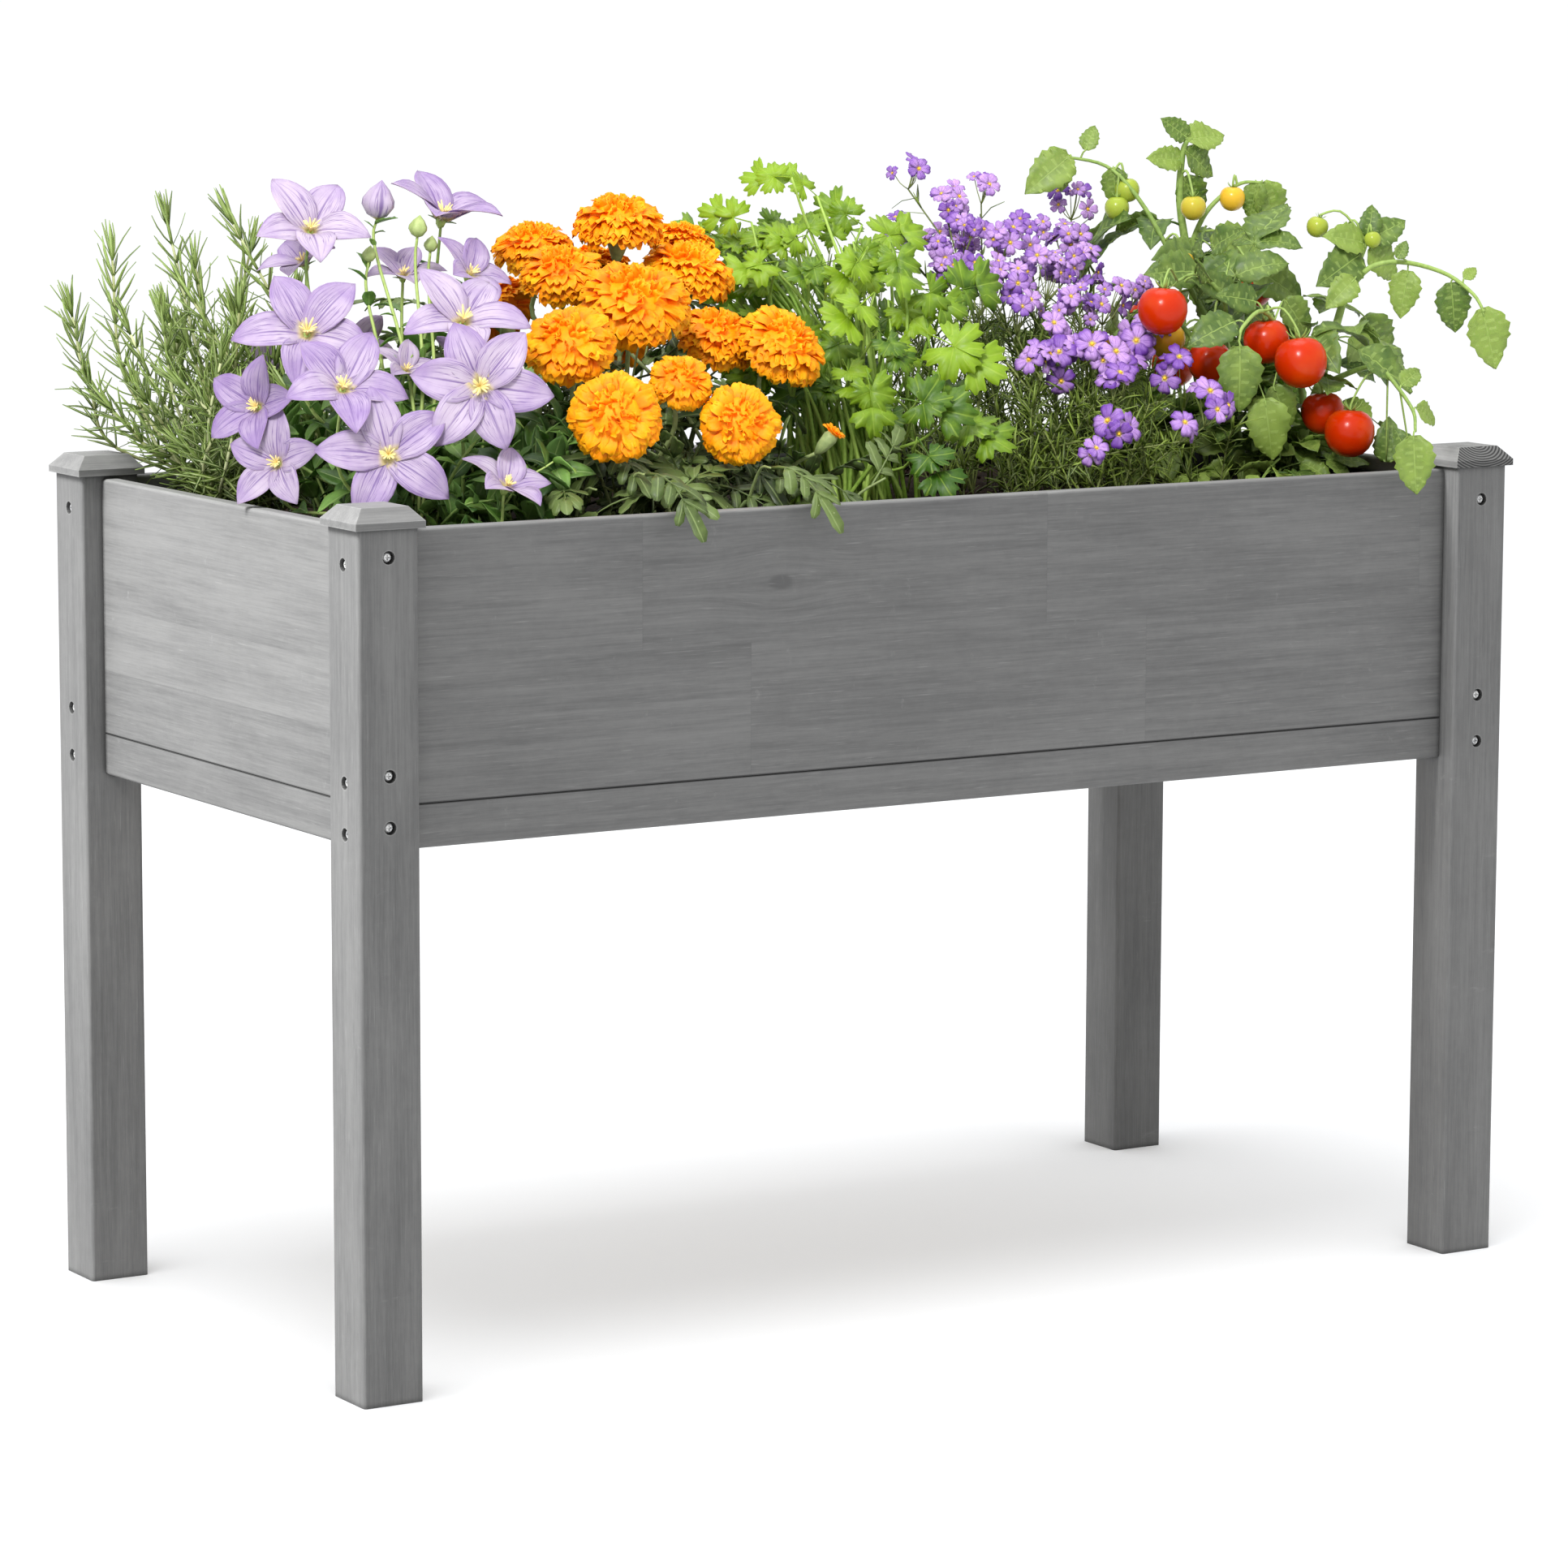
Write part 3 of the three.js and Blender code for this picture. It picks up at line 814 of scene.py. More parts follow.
# The felt's thickness, its gap to the CAD liner's outside, and the radius of its corners.
FELT = 0.0007
LINER_GAP = 0.0006
LINER_CORNER = 0.012
# How far the felt's hem stays under the CAD liner's top, and how far it leans in at most.
HEM = 0.003
HEM_LEAN = 0.0035


def lay_soil(draw):
    """Potting mix with a lumpy top and crumbs on it. It stands for the soil's solid."""
    low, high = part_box("potting_soil")
    rows, cols = 56, 120
    x, y = np.meshgrid(np.linspace(low.x, high.x, cols + 1), np.linspace(low.y, high.y, rows + 1))
    bumps = np.zeros_like(x)
    for size, height in ((0.09, 0.0035), (0.035, 0.0022), (0.014, 0.0014)):
        for _ in range(3):
            turn, shift_x, shift_y = draw.uniform(0, FULL_TURN, 3)
            run = (x * math.cos(turn) + y * math.sin(turn)) * FULL_TURN / size
            across = (y * math.cos(turn) - x * math.sin(turn)) * FULL_TURN / (1.3 * size)
            bumps += height / 3 * np.sin(run + shift_x + 1.7 * np.sin(across)) * np.cos(across + shift_y)
    bumps += draw.uniform(-0.0012, 0.0012, x.shape)
    top = rows_of(x, y, high.z - SOIL_DIP + bumps)
    count = len(top)
    # The rim of the top, anticlockwise from its front left corner, with the foot of the walls under it.
    grid = np.arange(count).reshape(rows + 1, cols + 1)
    rim = np.concatenate([grid[0], grid[1:, -1], grid[-1, -2::-1], grid[-2:0:-1, 0]])
    foot = top[rim] * FLAT + (0, 0, low.z)
    middle = [[(low.x + high.x) / 2, (low.y + high.y) / 2, low.z]]
    ring = np.arange(len(rim))
    after = (ring + 1) % len(rim)
    walls = np.column_stack([rim[after], rim, count + ring, count + after])
    base = triangles(count + after, count + ring, count + len(rim))
    heap = Heap()
    heap.stamp(Form(np.vstack([top, foot, middle]), np.vstack([lattice(rows, cols), walls, base])))
    lump = [(0.1, -0.9), (0.8, -0.5), (1, 0.1), (0.7, 0.7), (0.1, 0.95)]
    crumbs = [turned(lump, 6, 2, 0.15) for _ in range(3)]
    for crumb in crumbs:
        crumb.points *= draw.uniform(0.8, 1.2, crumb.points.shape)
    for _ in range(CRUMBS):
        at = (draw.uniform(low.x + 0.01, high.x - 0.01), draw.uniform(low.y + 0.01, high.y - 0.01), high.z)
        placing = facing(at, draw.uniform(-1, 1, 3), draw.uniform(0, 6), draw.uniform(0.0012, 0.0042))
        heap.stamp(crumbs[draw.randint(3)], placing, draw.uniform(0, 1))
    heap.piece("potting_mix", [soil_skin()], "soil", "potting_soil")


def rounded_girth(half_x, half_y, corner):
    """Places round a rectangle with rounded corners, anticlockwise from the right end of its back."""
    arcs = []
    for quarter, signs in enumerate(((1, 1), (-1, 1), (-1, -1), (1, -1))):
        turn = (quarter / 2 + np.arange(5) / 8) * math.pi
        centre = np.multiply(signs, (half_x - corner, half_y - corner))
        arcs.append(centre + corner * np.column_stack([np.cos(turn), np.sin(turn)]))
    girth = []
    for quarter, arc in enumerate(arcs):
        along = arcs[(quarter + 1) % 4][0] - arc[-1]
        steps = 20 if quarter % 2 else 44
        girth += [arc, arc[-1] + np.arange(1, steps)[:, None] / steps * along]
    return np.vstack(girth)


def lay_liner(draw):
    """One sheet of felt laid into the bed, with rounded corners and a hem that is a little wavy."""
    low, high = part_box("bed_liner")
    half_x, half_y = high.x - LINER_GAP, high.y - LINER_GAP
    foot, tall = low.z + LINER_GAP, high.z - low.z - LINER_GAP - HEM
    girth = rounded_girth(half_x, half_y, LINER_CORNER)
    sides = len(girth)
    at_wall = np.abs(girth) > np.array([half_x, half_y]) - LINER_CORNER - SPARE
    inward = -np.sign(girth) * at_wall
    wave = draw.uniform(0, 1, sides)
    wave = sum(np.roll(wave, k) for k in range(5)) / 5
    levels = (0.0, 0.25, 0.5, 0.7, 0.84, 0.93, 1.0)
    rings = []
    for level in levels:
        pull = HEM_LEAN * level**3 * wave[:, None] * inward
        height = foot + level * tall + HEM * level**4 * (wave[::-1] - 0.5)
        rings.append(np.column_stack([girth + pull, height]))
    points = np.vstack([*rings, [[0, 0, foot]]])
    walls = lattice(len(levels) - 1, sides, ring=True)[:, ::-1]
    ring = np.arange(sides)
    base = triangles(ring, (ring + 1) % sides, len(points) - 1)
    heap = Heap()
    heap.stamp(thick(Form(points, np.vstack([walls, base])), FELT))
    liner = heap.piece("felt_liner", [felt()], "liner_fabric", "bed_liner")


# ---------------------------------------------------------------- the plants

# The soil's surface in mm, from which the stems grow.
GROUND = 714
# How thick leaves and petals are: the thin ones, the firm ones, and needles.
THIN = 0.0004
FIRM = 0.0005
NEEDLE = 0.0007


def stamp_leaves(heap, leaves, path, shares, draw, lean=1.0, sizes=(0.8, 1.1)):
    """Leaves along a stem, each a golden turn on from the last."""
    turn = draw.uniform(0, FULL_TURN)
    for share in shares:
        at, ahead = on_path(path, share)
        turn += GOLDEN_TURN
        out = sideways(ahead, turn, lean + draw.uniform(-0.2, 0.2))
        face = ahead + 0.5 * UP + draw.uniform(-0.25, 0.25, 3)
        placing = pointing(at, out, face, draw.uniform(*sizes))
        heap.stamp(leaves[draw.randint(len(leaves))], placing, draw.uniform(0, 1))


def low_growth(stems, leaves, kinds, draw, base, roots, reaches, rise, arch, thin, shares, lean, sizes):
    """One short leafy shoot. roots bounds how far from the base it stands, and reaches how far it grows.
    rise(root) is how much higher it grows there, arch is its bow in mm, and thin gives tapered its radii,
    count and sides."""
    root = base + draw.uniform(*roots)
    out = draw.uniform(*reaches) + rise(root) * UP
    path = tapered(stems, [root, root + 0.5 * out + mm(0, 0, arch), root + out], *thin, draw.rand())
    stamp_leaves(leaves, kinds, path, shares, draw, lean, sizes)


def shown_places(places, share):
    """Rows of x, y, z and radius in metres, from ((x, y, z), width, ...) in mm."""
    return [(*mm(*place[0]), share * place[1] / 1000) for place in places]


def strewn(tint, spread, draw):
    """The tint, moved at random by up to the spread."""
    return np.clip(tint + draw.uniform(-spread, spread), 0, 1)


def wavy_petal(shape, length, width, cols, droop, fold, cup, ruffle, waves, phase, crinkle):
    """A petal whose tip is crinkled: crinkle(along, across) gives how far it moves along and up."""
    petal = blade(shape, length, width, 3, cols, droop, fold, cup, ruffle, waves, phase)
    petal.points[:, 1:] += np.column_stack(crinkle(*petal.marks.T))
    return petal


# Where the rosemary sprigs end that stand out, in mm.
ROSEMARY_TIPS = [
    (-600, 272, 896), (-574, 240, 948), (-546, 180, 980), (-520, 100, 986), (-596, 244, 832),
    (-585, 180, 885), (-558, 120, 928), (-535, 60, 910), (-480, 150, 955), (-505, 210, 940),
    (-520, 240, 885), (-460, 205, 895), (-445, 130, 910), (-575, 90, 842), (-586, 140, 825),
    (-585, 215, 812), (-550, 30, 832), (-500, 60, 862), (-540, 150, 872), (-470, 90, 842),
]


def grow_rosemary(draw):
    stems, needles = Heap(), Heap(keeps_clear=True)
    shape = outline((0, 0.6), (0.5, 1.0), (1, 0.12))
    kinds = [thick(blade(shape, 0.034, 0.0032, 3, 1, droop), NEEDLE) for droop in (-0.5, -0.2, 0.1, 0.3)]
    base = mm(-497, 165, GROUND)
    tips = [mm(*tip) for tip in ROSEMARY_TIPS]
    tips += [base + draw.uniform((-0.075, -0.13, 0.06), (0.06, 0.09, 0.19)) for _ in range(30)]
    for tip in tips:
        reach = tip - base
        root = base + draw.uniform((-0.02, -0.035, 0), (0.04, 0.035, 0))
        low = root + reach * (0.42, 0.42, 0.25) + draw.uniform(-0.008, 0.008, 3)
        high = root + reach * (0.93, 0.93, 0.6) + draw.uniform(-0.006, 0.006, 3)
        path = tapered(stems, [root, low, high, tip], 0.0023, 0.0012, 14, 5, draw.uniform(0, 1))
        whorls = int(np.linalg.norm(np.diff(path, axis=0), axis=1).sum() / 0.0128)
        turn = draw.uniform(0, 6)
        for whorl in range(3, whorls + 2):
            share = min(1.0, whorl / whorls)
            at, ahead = on_path(path, share)
            turn += 0.9
            for k in range(4):
                lean = (1.0 - 0.5 * share**2 if whorl < whorls else 0.25) + draw.uniform(-0.18, 0.18)
                out = sideways(ahead, turn + k * math.pi / 2 + draw.uniform(-0.3, 0.3), lean)
                placing = pointing(at, out, ahead + 0.01 * UP, draw.uniform(0.8, 1.0) + 0.15 * share)
                needles.stamp(kinds[draw.randint(4)], placing, draw.uniform(0, 1))
    bark = stem_skin("rosemary_stem", (150, 156, 100), (204, 210, 160))
    stems.piece("rosemary_stems", [bark], "rosemary_leaf")
    skin = leaf_skin("rosemary_needle", (52, 76, 22), (108, 130, 50), (176, 186, 132),
                     vein_width=0.5, pale_under=0.7, gloss=0.42, mottle=60.0)
    needles.piece("rosemary_needles", [skin], "rosemary_leaf", "plant_rosemary")


# Each balloon flower: its place in mm, its width in mm, the way it faces, and how open it is from 0 to 1.
BALLOON_FLOWERS = [
    ((-503, -20, 990), 108, (-0.2, -0.65, 0.75), 0.45), ((-548, -100, 906), 116, (-0.3, -0.7, 0.65), 0.7),
    ((-544, -160, 862), 108, (-0.2, -0.7, 0.7), 0.6), ((-444, -220, 861), 116, (-0.5, -0.85, 0.15), 0.95),
    ((-427, -160, 916), 112, (-0.15, -0.6, 0.8), 0.7), ((-565, -30, 835), 92, (-0.85, -0.5, 0.3), 0.55),
    ((-560, -60, 788), 88, (-0.75, -0.6, 0.3), 0.55), ((-522, -200, 805), 112, (-0.4, -0.85, 0.35), 0.9),
    ((-371, -20, 1000), 108, (0.1, -0.35, 0.9), 0.3), ((-425, -236, 778), 84, (0.2, -0.55, 0.8), 0.5),
    ((-375, -80, 950), 82, (0.25, -0.65, 0.75), 0.5), ((-402, 0, 946), 72, (-0.1, -0.3, 0.9), 0.5),
    ((-488, 30, 958), 82, (-0.5, -0.1, 0.8), 0.55), ((-446, -90, 868), 60, (0.1, -0.5, 0.7), 0.5),
    ((-395, 110, 870), 78, (0.4, 0.7, 0.6), 0.6), ((-480, 120, 850), 84, (-0.3, 0.8, 0.5), 0.7),
    ((-350, -10, 860), 70, (0.9, 0.1, 0.5), 0.6),
]
# The buds: the place and the radius in mm. The smallest are still green.
BALLOON_BUDS = [
    ((-438, -20, 996), 14), ((-414, -50, 980), 8), ((-398, -44, 966), 6), ((-452, -30, 958), 6),
]
GREEN_BUD = 12


def balloon_petals(openness, draw):
    """The petals of one flower, which faces +Z. A wide open flower has six."""
    shape = outline((0, 0.42), (0.15, 0.66), (0.32, 0.94), (0.48, 1.0), (0.66, 0.87), (0.84, 0.52), (1, 0.03))
    count = 6 if openness > 0.92 else 5
    rise, droop = 0.95 - 0.5 * openness, 0.75 + 0.15 * openness
    for k in range(count):
        radial = spoke(FULL_TURN * k / count + draw.uniform(-0.07, 0.07))
        lean = rise + draw.uniform(-0.12, 0.12)
        out = math.cos(lean) * radial + math.sin(lean) * UP
        face = math.cos(lean) * UP - math.sin(lean) * radial
        length, bend = 0.055 * draw.uniform(0.93, 1.06), droop + draw.uniform(-0.2, 0.25)
        petal = blade(shape, length, 0.0335, 10, 6, bend, 0.14, 0.14, 0.016, 1.4, draw.uniform(0, 6))
        yield thick(petal, THIN).placed(pointing(0.0015 * radial, out, face))


def grow_balloon_flowers(draw):
    stems, leaves, flowers = Heap(), Heap(True, shown_places(BALLOON_FLOWERS, 0.36)), Heap()
    base = mm(-448, -110, GROUND)
    sepal = thick(blade(outline((0, 0.7), (0.4, 1), (1, 0.1)), 0.013, 0.005, 3, 2, -0.5), FIRM)
    leaf_shape = outline((0, 0.2), (0.2, 0.8), (0.4, 1.0), (0.7, 0.72), (0.9, 0.28), (1, 0.04))
    leaf_kinds = [thick(blade(leaf_shape, 0.038, 0.021, 7, 4, droop, 0.35, 0, 0.015, 2.5, phase), THIN)
                  for droop, phase in ((0.5, 0), (0.9, 2), (0.2, 4), (1.2, 1))]
    stamen_path = curve([(0, 0, 0), (0, 0.002, 0.006), (0, 0.0060, 0.0108)], 4)
    stamen = tube(stamen_path, (0.0009, 0.0006, 0.0008, 0.0005), 4)
    cup = turned([(0.0009, -0.006), (0.0035, -0.003), (0.0044, 0.001), (0.0030, 0.003)], 10, 5, 0.12)
    for at, width, axis, openness in BALLOON_FLOWERS:
        at, axis, size = mm(*at), unit(axis), width / 100
        tint = draw.uniform(0.2, 0.8)
        seat = facing(at - 0.008 * size * axis, axis, draw.uniform(0, 6), size)
        for petal in balloon_petals(openness, draw):
            flowers.stamp(petal, seat, strewn(tint, 0.15, draw))
        for k in range(16):
            turn = draw.uniform(0, 6.3) if k > 7 else k * 0.79
            standing = stamen.placed(facing((0, 0, 0.001), UP, turn, draw.uniform(0.8, 1.25)))
            flowers.stamp(standing, seat, 0.5, 1)
        for k in range(5):
            radial = spoke(FULL_TURN * (k + 0.5) / 5)
            leaves.stamp(sepal.placed(pointing((0, 0, -0.002), radial + 0.35 * UP, -UP)), seat, 0.7)
        neck = at - 0.010 * size * axis
        root = base + draw.uniform(-0.05, 0.05, 3) * (1, 1.3, 0)
        bend = neck - (0.035 + 0.02 * draw.rand()) * (0.6 * axis + 0.8 * UP)
        middle = 0.5 * (root + bend) + draw.uniform(-0.015, 0.015, 3)
        path = tapered(stems, [root, middle, bend, neck], 0.0019, 0.0013, 16, 6, draw.uniform(0.2, 0.9))
        stems.stamp(cup, facing(neck, axis, 0.0, size), 0.7)
        stamp_leaves(leaves, leaf_kinds, path, np.arange(0.1, 0.8, 0.075), draw, 1.1, (0.6, 1.1))
    bud_stops = [(0.1, -0.15), (0.62, 0.1), (1, 0.7), (0.98, 1.1), (0.6, 1.75), (0.2, 2.15), (0.02, 2.35)]
    bud = turned(bud_stops, 20, 5, 0.1)
    for at, radius in BALLOON_BUDS:
        at, size = mm(*at), radius / 1000
        flowers.stamp(bud, facing(at, (0.1, -0.1, 1), 0.0, size), 0.35, 2 if radius < GREEN_BUD else 0)
        for k in range(5):
            radial = spoke(FULL_TURN * k / 5)
            leaves.stamp(sepal, pointing(at - 0.1 * size * UP, 0.5 * radial + UP, -radial, size * 75), 0.8)
        root = base + draw.uniform(-0.03, 0.03, 3) * FLAT
        points = [root, 0.5 * (root + at) + mm(6, -8, 0), at - mm(2, 0, 30), at]
        path = tapered(stems, points, 0.0018, 0.0012, 16, 6, 0.8)
        stamp_leaves(leaves, leaf_kinds, path, np.arange(0.2, 0.95, 0.07), draw, 0.9, (0.3, 0.7))
    for _ in range(58):
        low_growth(stems, leaves, leaf_kinds, draw, base, ((-0.06, -0.07, 0), (0.14, 0.14, 0)),
                   ((-0.07, -0.07, 0.03), (0.09, 0.12, 0.11)), lambda root: 0.6 * (root[1] - base[1] + 0.02),
                   15, (0.0015, 0.0008, 10, 5), np.arange(0.2, 1.01, 0.1), 1.0, (0.7, 1.15))
    skin = stem_skin("balloon_stem", (96, 128, 58), (172, 194, 110))
    stems.piece("balloon_flower_stems", [skin], "balloon_petal")
    leaf = leaf_skin("balloon_leaf", (50, 84, 32), (110, 148, 66), (150, 174, 108), 6.0, 0.08)
    leaves.piece("balloon_flower_leaves", [leaf], "balloon_petal")
    petal = veined_petal("balloon_petal_lilac", (182, 168, 186), (140, 116, 164), (92, 62, 128),
                         (206, 190, 138), 0.15, 0.85)
    cream = stem_skin("stamen_cream", (224, 196, 110), (250, 236, 180))
    green = stem_skin("green_bud", (140, 160, 90), (196, 206, 146))
    flowers.piece("balloon_flowers", [petal, cream, green], "balloon_petal", "plant_balloon_flower")


# Each marigold head: its place in mm, its width in mm, and the way it faces.
MARIGOLD_HEADS = [
    ((-170, 20, 981), 90, (-0.05, -0.2, 1)), ((-248, 40, 960), 80, (-0.2, -0.15, 1)),
    ((-252, -20, 940), 82, (-0.2, -0.35, 0.9)), ((-222, -100, 918), 106, (-0.15, -0.5, 0.85)),
    ((-108, 0, 936), 92, (0.1, -0.25, 1)), ((-67, 80, 957), 70, (0.3, 0.1, 0.9)),
    ((-311, -140, 888), 86, (-0.45, -0.5, 0.7)), ((-113, -60, 881), 82, (0.1, -0.45, 0.85)),
    ((-67, -100, 875), 90, (0.2, -0.65, 0.7)), ((-308, -216, 830), 86, (-0.5, -0.85, 0.4)),
    ((-221, -180, 854), 60, (-0.2, -0.7, 0.6)), ((-182, -216, 818), 76, (-0.4, -0.9, 0.3)),
    ((-150, 110, 930), 84, (0.1, 0.5, 0.8)), ((-240, 130, 900), 86, (-0.2, 0.7, 0.7)),
    ((-100, 150, 870), 76, (0.3, 0.8, 0.5)),
]
# Marigold buds that are just opening: the place in mm and the way they face.
MARIGOLD_BUDS = [((-82, -206, 800), (0.5, -0.4, 0.75)), ((-140, 60, 880), (0, 0.3, 1))]
# Marigold leaves at the front rim: x in mm, how far they point aside, and whether they hang over it.
RIM_LEAVES = [
    (-296, 0.05, True), (-168, 0.2, True), (-352, -0.5, False), (-318, -0.2, False), (-262, 0.1, False),
    (-226, -0.1, False), (-196, 0.3, False), (-140, 0.1, False), (-112, 0.5, False), (-84, 0.2, False),
]
# The width in mm that a head's calyx is drawn for, and the width above which a head is full.
CALYX_FOR = 88
FULL_HEAD = 65


def pompom(width, count, kinds, draw):
    """A double marigold: petals crowded over a dome, upright in the middle and spread flat round the edge."""
    forms = []
    for k in range(count):
        polar = math.acos(1 - 1.36 * (k + 0.5) / count)
        inner = polar < 0.75
        radial = spoke(k * GOLDEN_TURN + draw.uniform(-0.15, 0.15))
        tip = width * (0.47 * math.sin(polar) * radial + (0.30 * math.cos(polar) + 0.02) * UP)
        root = 0.42 * tip - 0.03 * width * UP
        out = unit(tip - root + draw.uniform(-0.09, 0.09, 3) * width * 0.4)
        face = UP - 0.6 * math.cos(polar) * radial + draw.uniform(-0.25, 0.25, 3)
        if inner:
            face = np.array([math.cos(2.3 * k), math.sin(2.3 * k), 0.2])
        size = np.linalg.norm(tip - root) / 0.024 * draw.uniform(0.95, 1.15) * (0.78 if inner else 1)
        forms.append(kinds[6 * inner + draw.randint(6)].placed(pointing(root, out, face, size)))
    core = turned([(0.01, -0.10), (0.22, -0.09), (0.31, -0.02), (0.30, 0.08), (0.2, 0.16), (0.02, 0.19)], 12)
    forms.append(Form(width * core.points, core.faces, core.marks))
    return forms


def marigold_petals():
    """Six outer petals and six inner ones, all with crinkled tips."""
    shape = outline((0, 0.35), (0.33, 0.66), (0.67, 1.0), (1, 0.8))
    kinds = []
    for k in range(12):
        def crinkle(along, across):
            ahead = along**3 * (0.0008 * np.cos(7 * across + k) - 0.0026 * across**2)
            return ahead, 0.0023 * along**2 * np.sin(5.0 * across + 1.7 * k)
        droop = 0.95 + 0.25 * math.sin(k) if k < 6 else 0.15 * (k - 7)
        petal = wavy_petal(shape, 0.024, 0.0150, 5, droop, 0.1, 0.2, 0.0, 1.0, k, crinkle)
        kinds.append(thick(petal, FIRM))
    return kinds


def grow_marigolds(draw):
    stems, leaves, heads = Heap(), Heap(True, shown_places(MARIGOLD_HEADS, 0.42)), Heap()
    base = mm(-190, -70, GROUND)
    kinds = marigold_petals()
    leaflet_shape = outline((0, 0.35), (0.2, 0.7), (0.4, 1.0), (0.6, 0.86), (0.8, 0.98), (1, 0.4))
    leaflets = [thick(blade(leaflet_shape, 0.034, 0.0128, 5, 2, droop, 0.3, 0, 0.02, 2, 1), FIRM)
                for droop in (0.2, 0.6, 1.0)]
    leaf_kinds = [pinnate(leaflets, 0.060, pairs, 0.7, droop, 0.0012, draw)
                  for pairs, droop in ((3, 0.5), (2, 0.9), (3, 1.2))]
    calyx = turned([(0.0022, -0.030), (0.0045, -0.024), (0.0085, -0.012), (0.0105, -0.002), (0.0098, 0.003),
                    (0.004, 0.006)], 20, 10, 0.07)
    for at, width, axis in MARIGOLD_HEADS:
        at, axis, size = mm(*at), unit(axis), width / 1000
        at = at + 0.09 * size * axis[2] * axis
        seat = facing(at - 0.06 * size * axis, axis, draw.uniform(0, 6))
        tint = draw.uniform(0.35, 0.65)
        for petal in pompom(size, 126 if width > FULL_HEAD else 90, kinds, draw):
            heads.stamp(petal, seat, strewn(tint, 0.3, draw))
        neck = at - 0.17 * size * axis
        stems.stamp(calyx, facing(neck, axis, 0.0, width / CALYX_FOR), 0.5)
        foot = neck - 0.030 * width / CALYX_FOR * axis
        root = base + draw.uniform(-0.08, 0.08, 3) * FLAT
        bend = foot - 0.03 * (0.5 * axis + 0.8 * UP)
        middle = 0.45 * root + 0.55 * bend + draw.uniform(-0.01, 0.01, 3)
        path = tapered(stems, [root, middle, bend, foot], 0.0028, 0.0021, 16, 7, draw.uniform(0.3, 0.8))
        stamp_leaves(leaves, leaf_kinds, path, np.arange(0.1, 0.8, 0.16), draw, 1.0, (0.7, 1.0))
    bud_cup = turned([(0.002, -0.02), (0.0055, -0.012), (0.0068, 0.0), (0.0055, 0.004)], 16, 8, 0.07)
    for at, axis in MARIGOLD_BUDS:
        at, axis = mm(*at), unit(axis)
        stems.stamp(bud_cup, facing(at, axis), 0.5)
        for k in range(14):
            out = sideways(axis, k * GOLDEN_TURN, 0.12 + 0.3 * (k % 3) / 2)
            heads.stamp(kinds[k % 6], pointing(at - 0.002 * axis, out, axis, 0.62), 0.25)
        root = base + mm(70, -60, 0)
        tapered(stems, [root, 0.5 * (root + at) + mm(0, 0, 12), at - 0.018 * axis], 0.002, 0.0017, 12, 6, 0.5)
    for _ in range(50):
        low_growth(stems, leaves, leaf_kinds, draw, base, ((-0.13, -0.15, 0), (0.13, 0.30, 0)),
                   ((-0.05, -0.04, 0.02), (0.05, 0.05, 0.08)),
                   lambda root: 0.5 * min(0.22, root[1] - base[1] + 0.12),
                   8, (0.0018, 0.001, 8, 5), (0.45, 0.75, 1.0), 0.95, (0.75, 1.1))
    for x, aside, over in RIM_LEAVES:
        at = mm(x, -248, 780) if over else mm(x, -200, 764)
        placing = pointing(at, (aside, -1, 0.25), UP + (0.1 * aside - 0.1, -0.3, 0), 1.05 if over else 0.85)
        leaves.stamp(leaf_kinds[2 if over else draw.randint(2)], placing, draw.uniform(0.4, 1))
        tapered(stems, [at + mm(6, 60, -50), at + mm(0, 22, -4), at], 0.0018, 0.001, 8, 5, 0.5)
    skin = stem_skin("marigold_stem", (104, 124, 76), (164, 178, 116))
    stems.piece("marigold_stems", [skin], "marigold_petal")
    leaf = leaf_skin("marigold_leaf", (42, 58, 22), (94, 112, 56), (120, 136, 84), 5.0, 0.16, 0.3, 0.5)
    leaves.piece("marigold_leaves", [leaf], "marigold_petal")
    heads.piece("marigold_heads", [marigold_skin()], "marigold_petal", "plant_marigold")


# The parsley leaves that stand out: their places in mm and their sizes.
PARSLEY_LEAVES = [
    ((9, 50, 1020), 0.75), ((42, 50, 1014), 0.7), ((-17, 80, 982), 0.75), ((-33, 100, 968), 0.7),
    ((-25, 20, 940), 0.8), ((89, 50, 985), 0.8), ((46, 40, 974), 0.7), ((128, 20, 965), 0.9),
    ((39, -50, 940), 0.85), ((88, -50, 942), 0.9), ((18, -90, 905), 1.0), ((160, -60, 918), 1.0),
    ((122, -60, 912), 0.85), ((51, -100, 870), 0.7), ((112, -120, 866), 1.15), ((15, -120, 826), 0.9),
    ((59, -150, 820), 1.05), ((108, -150, 797), 1.0), ((38, -188, 772), 0.95), ((120, 50, 948), 0.8),
    ((19, 60, 966), 0.75), ((104, -40, 895), 0.8), ((17, -50, 868), 0.8), ((98, -120, 826), 0.8),
    ((17, -80, 844), 0.75),
]


def parsley_leaflet(length, phase):
    """A flat leaflet of three lobes, each cut into blunt teeth."""
    def reach(angle):
        lobes = [top * (1 - np.minimum(1, np.abs(angle - at) / 0.5) ** 4)
                 for at, top in ((-0.92, 0.84), (0, 1), (0.92, 0.84))]
        teeth = 0.075 * np.cos(20.0 * angle + phase)
        return length * (0.42 + 0.52 * np.maximum.reduce(lobes) + teeth)
    return thick(fan(reach, 1.35, 2, 36, 0.1 * math.sin(phase), 0.1, phase), THIN)


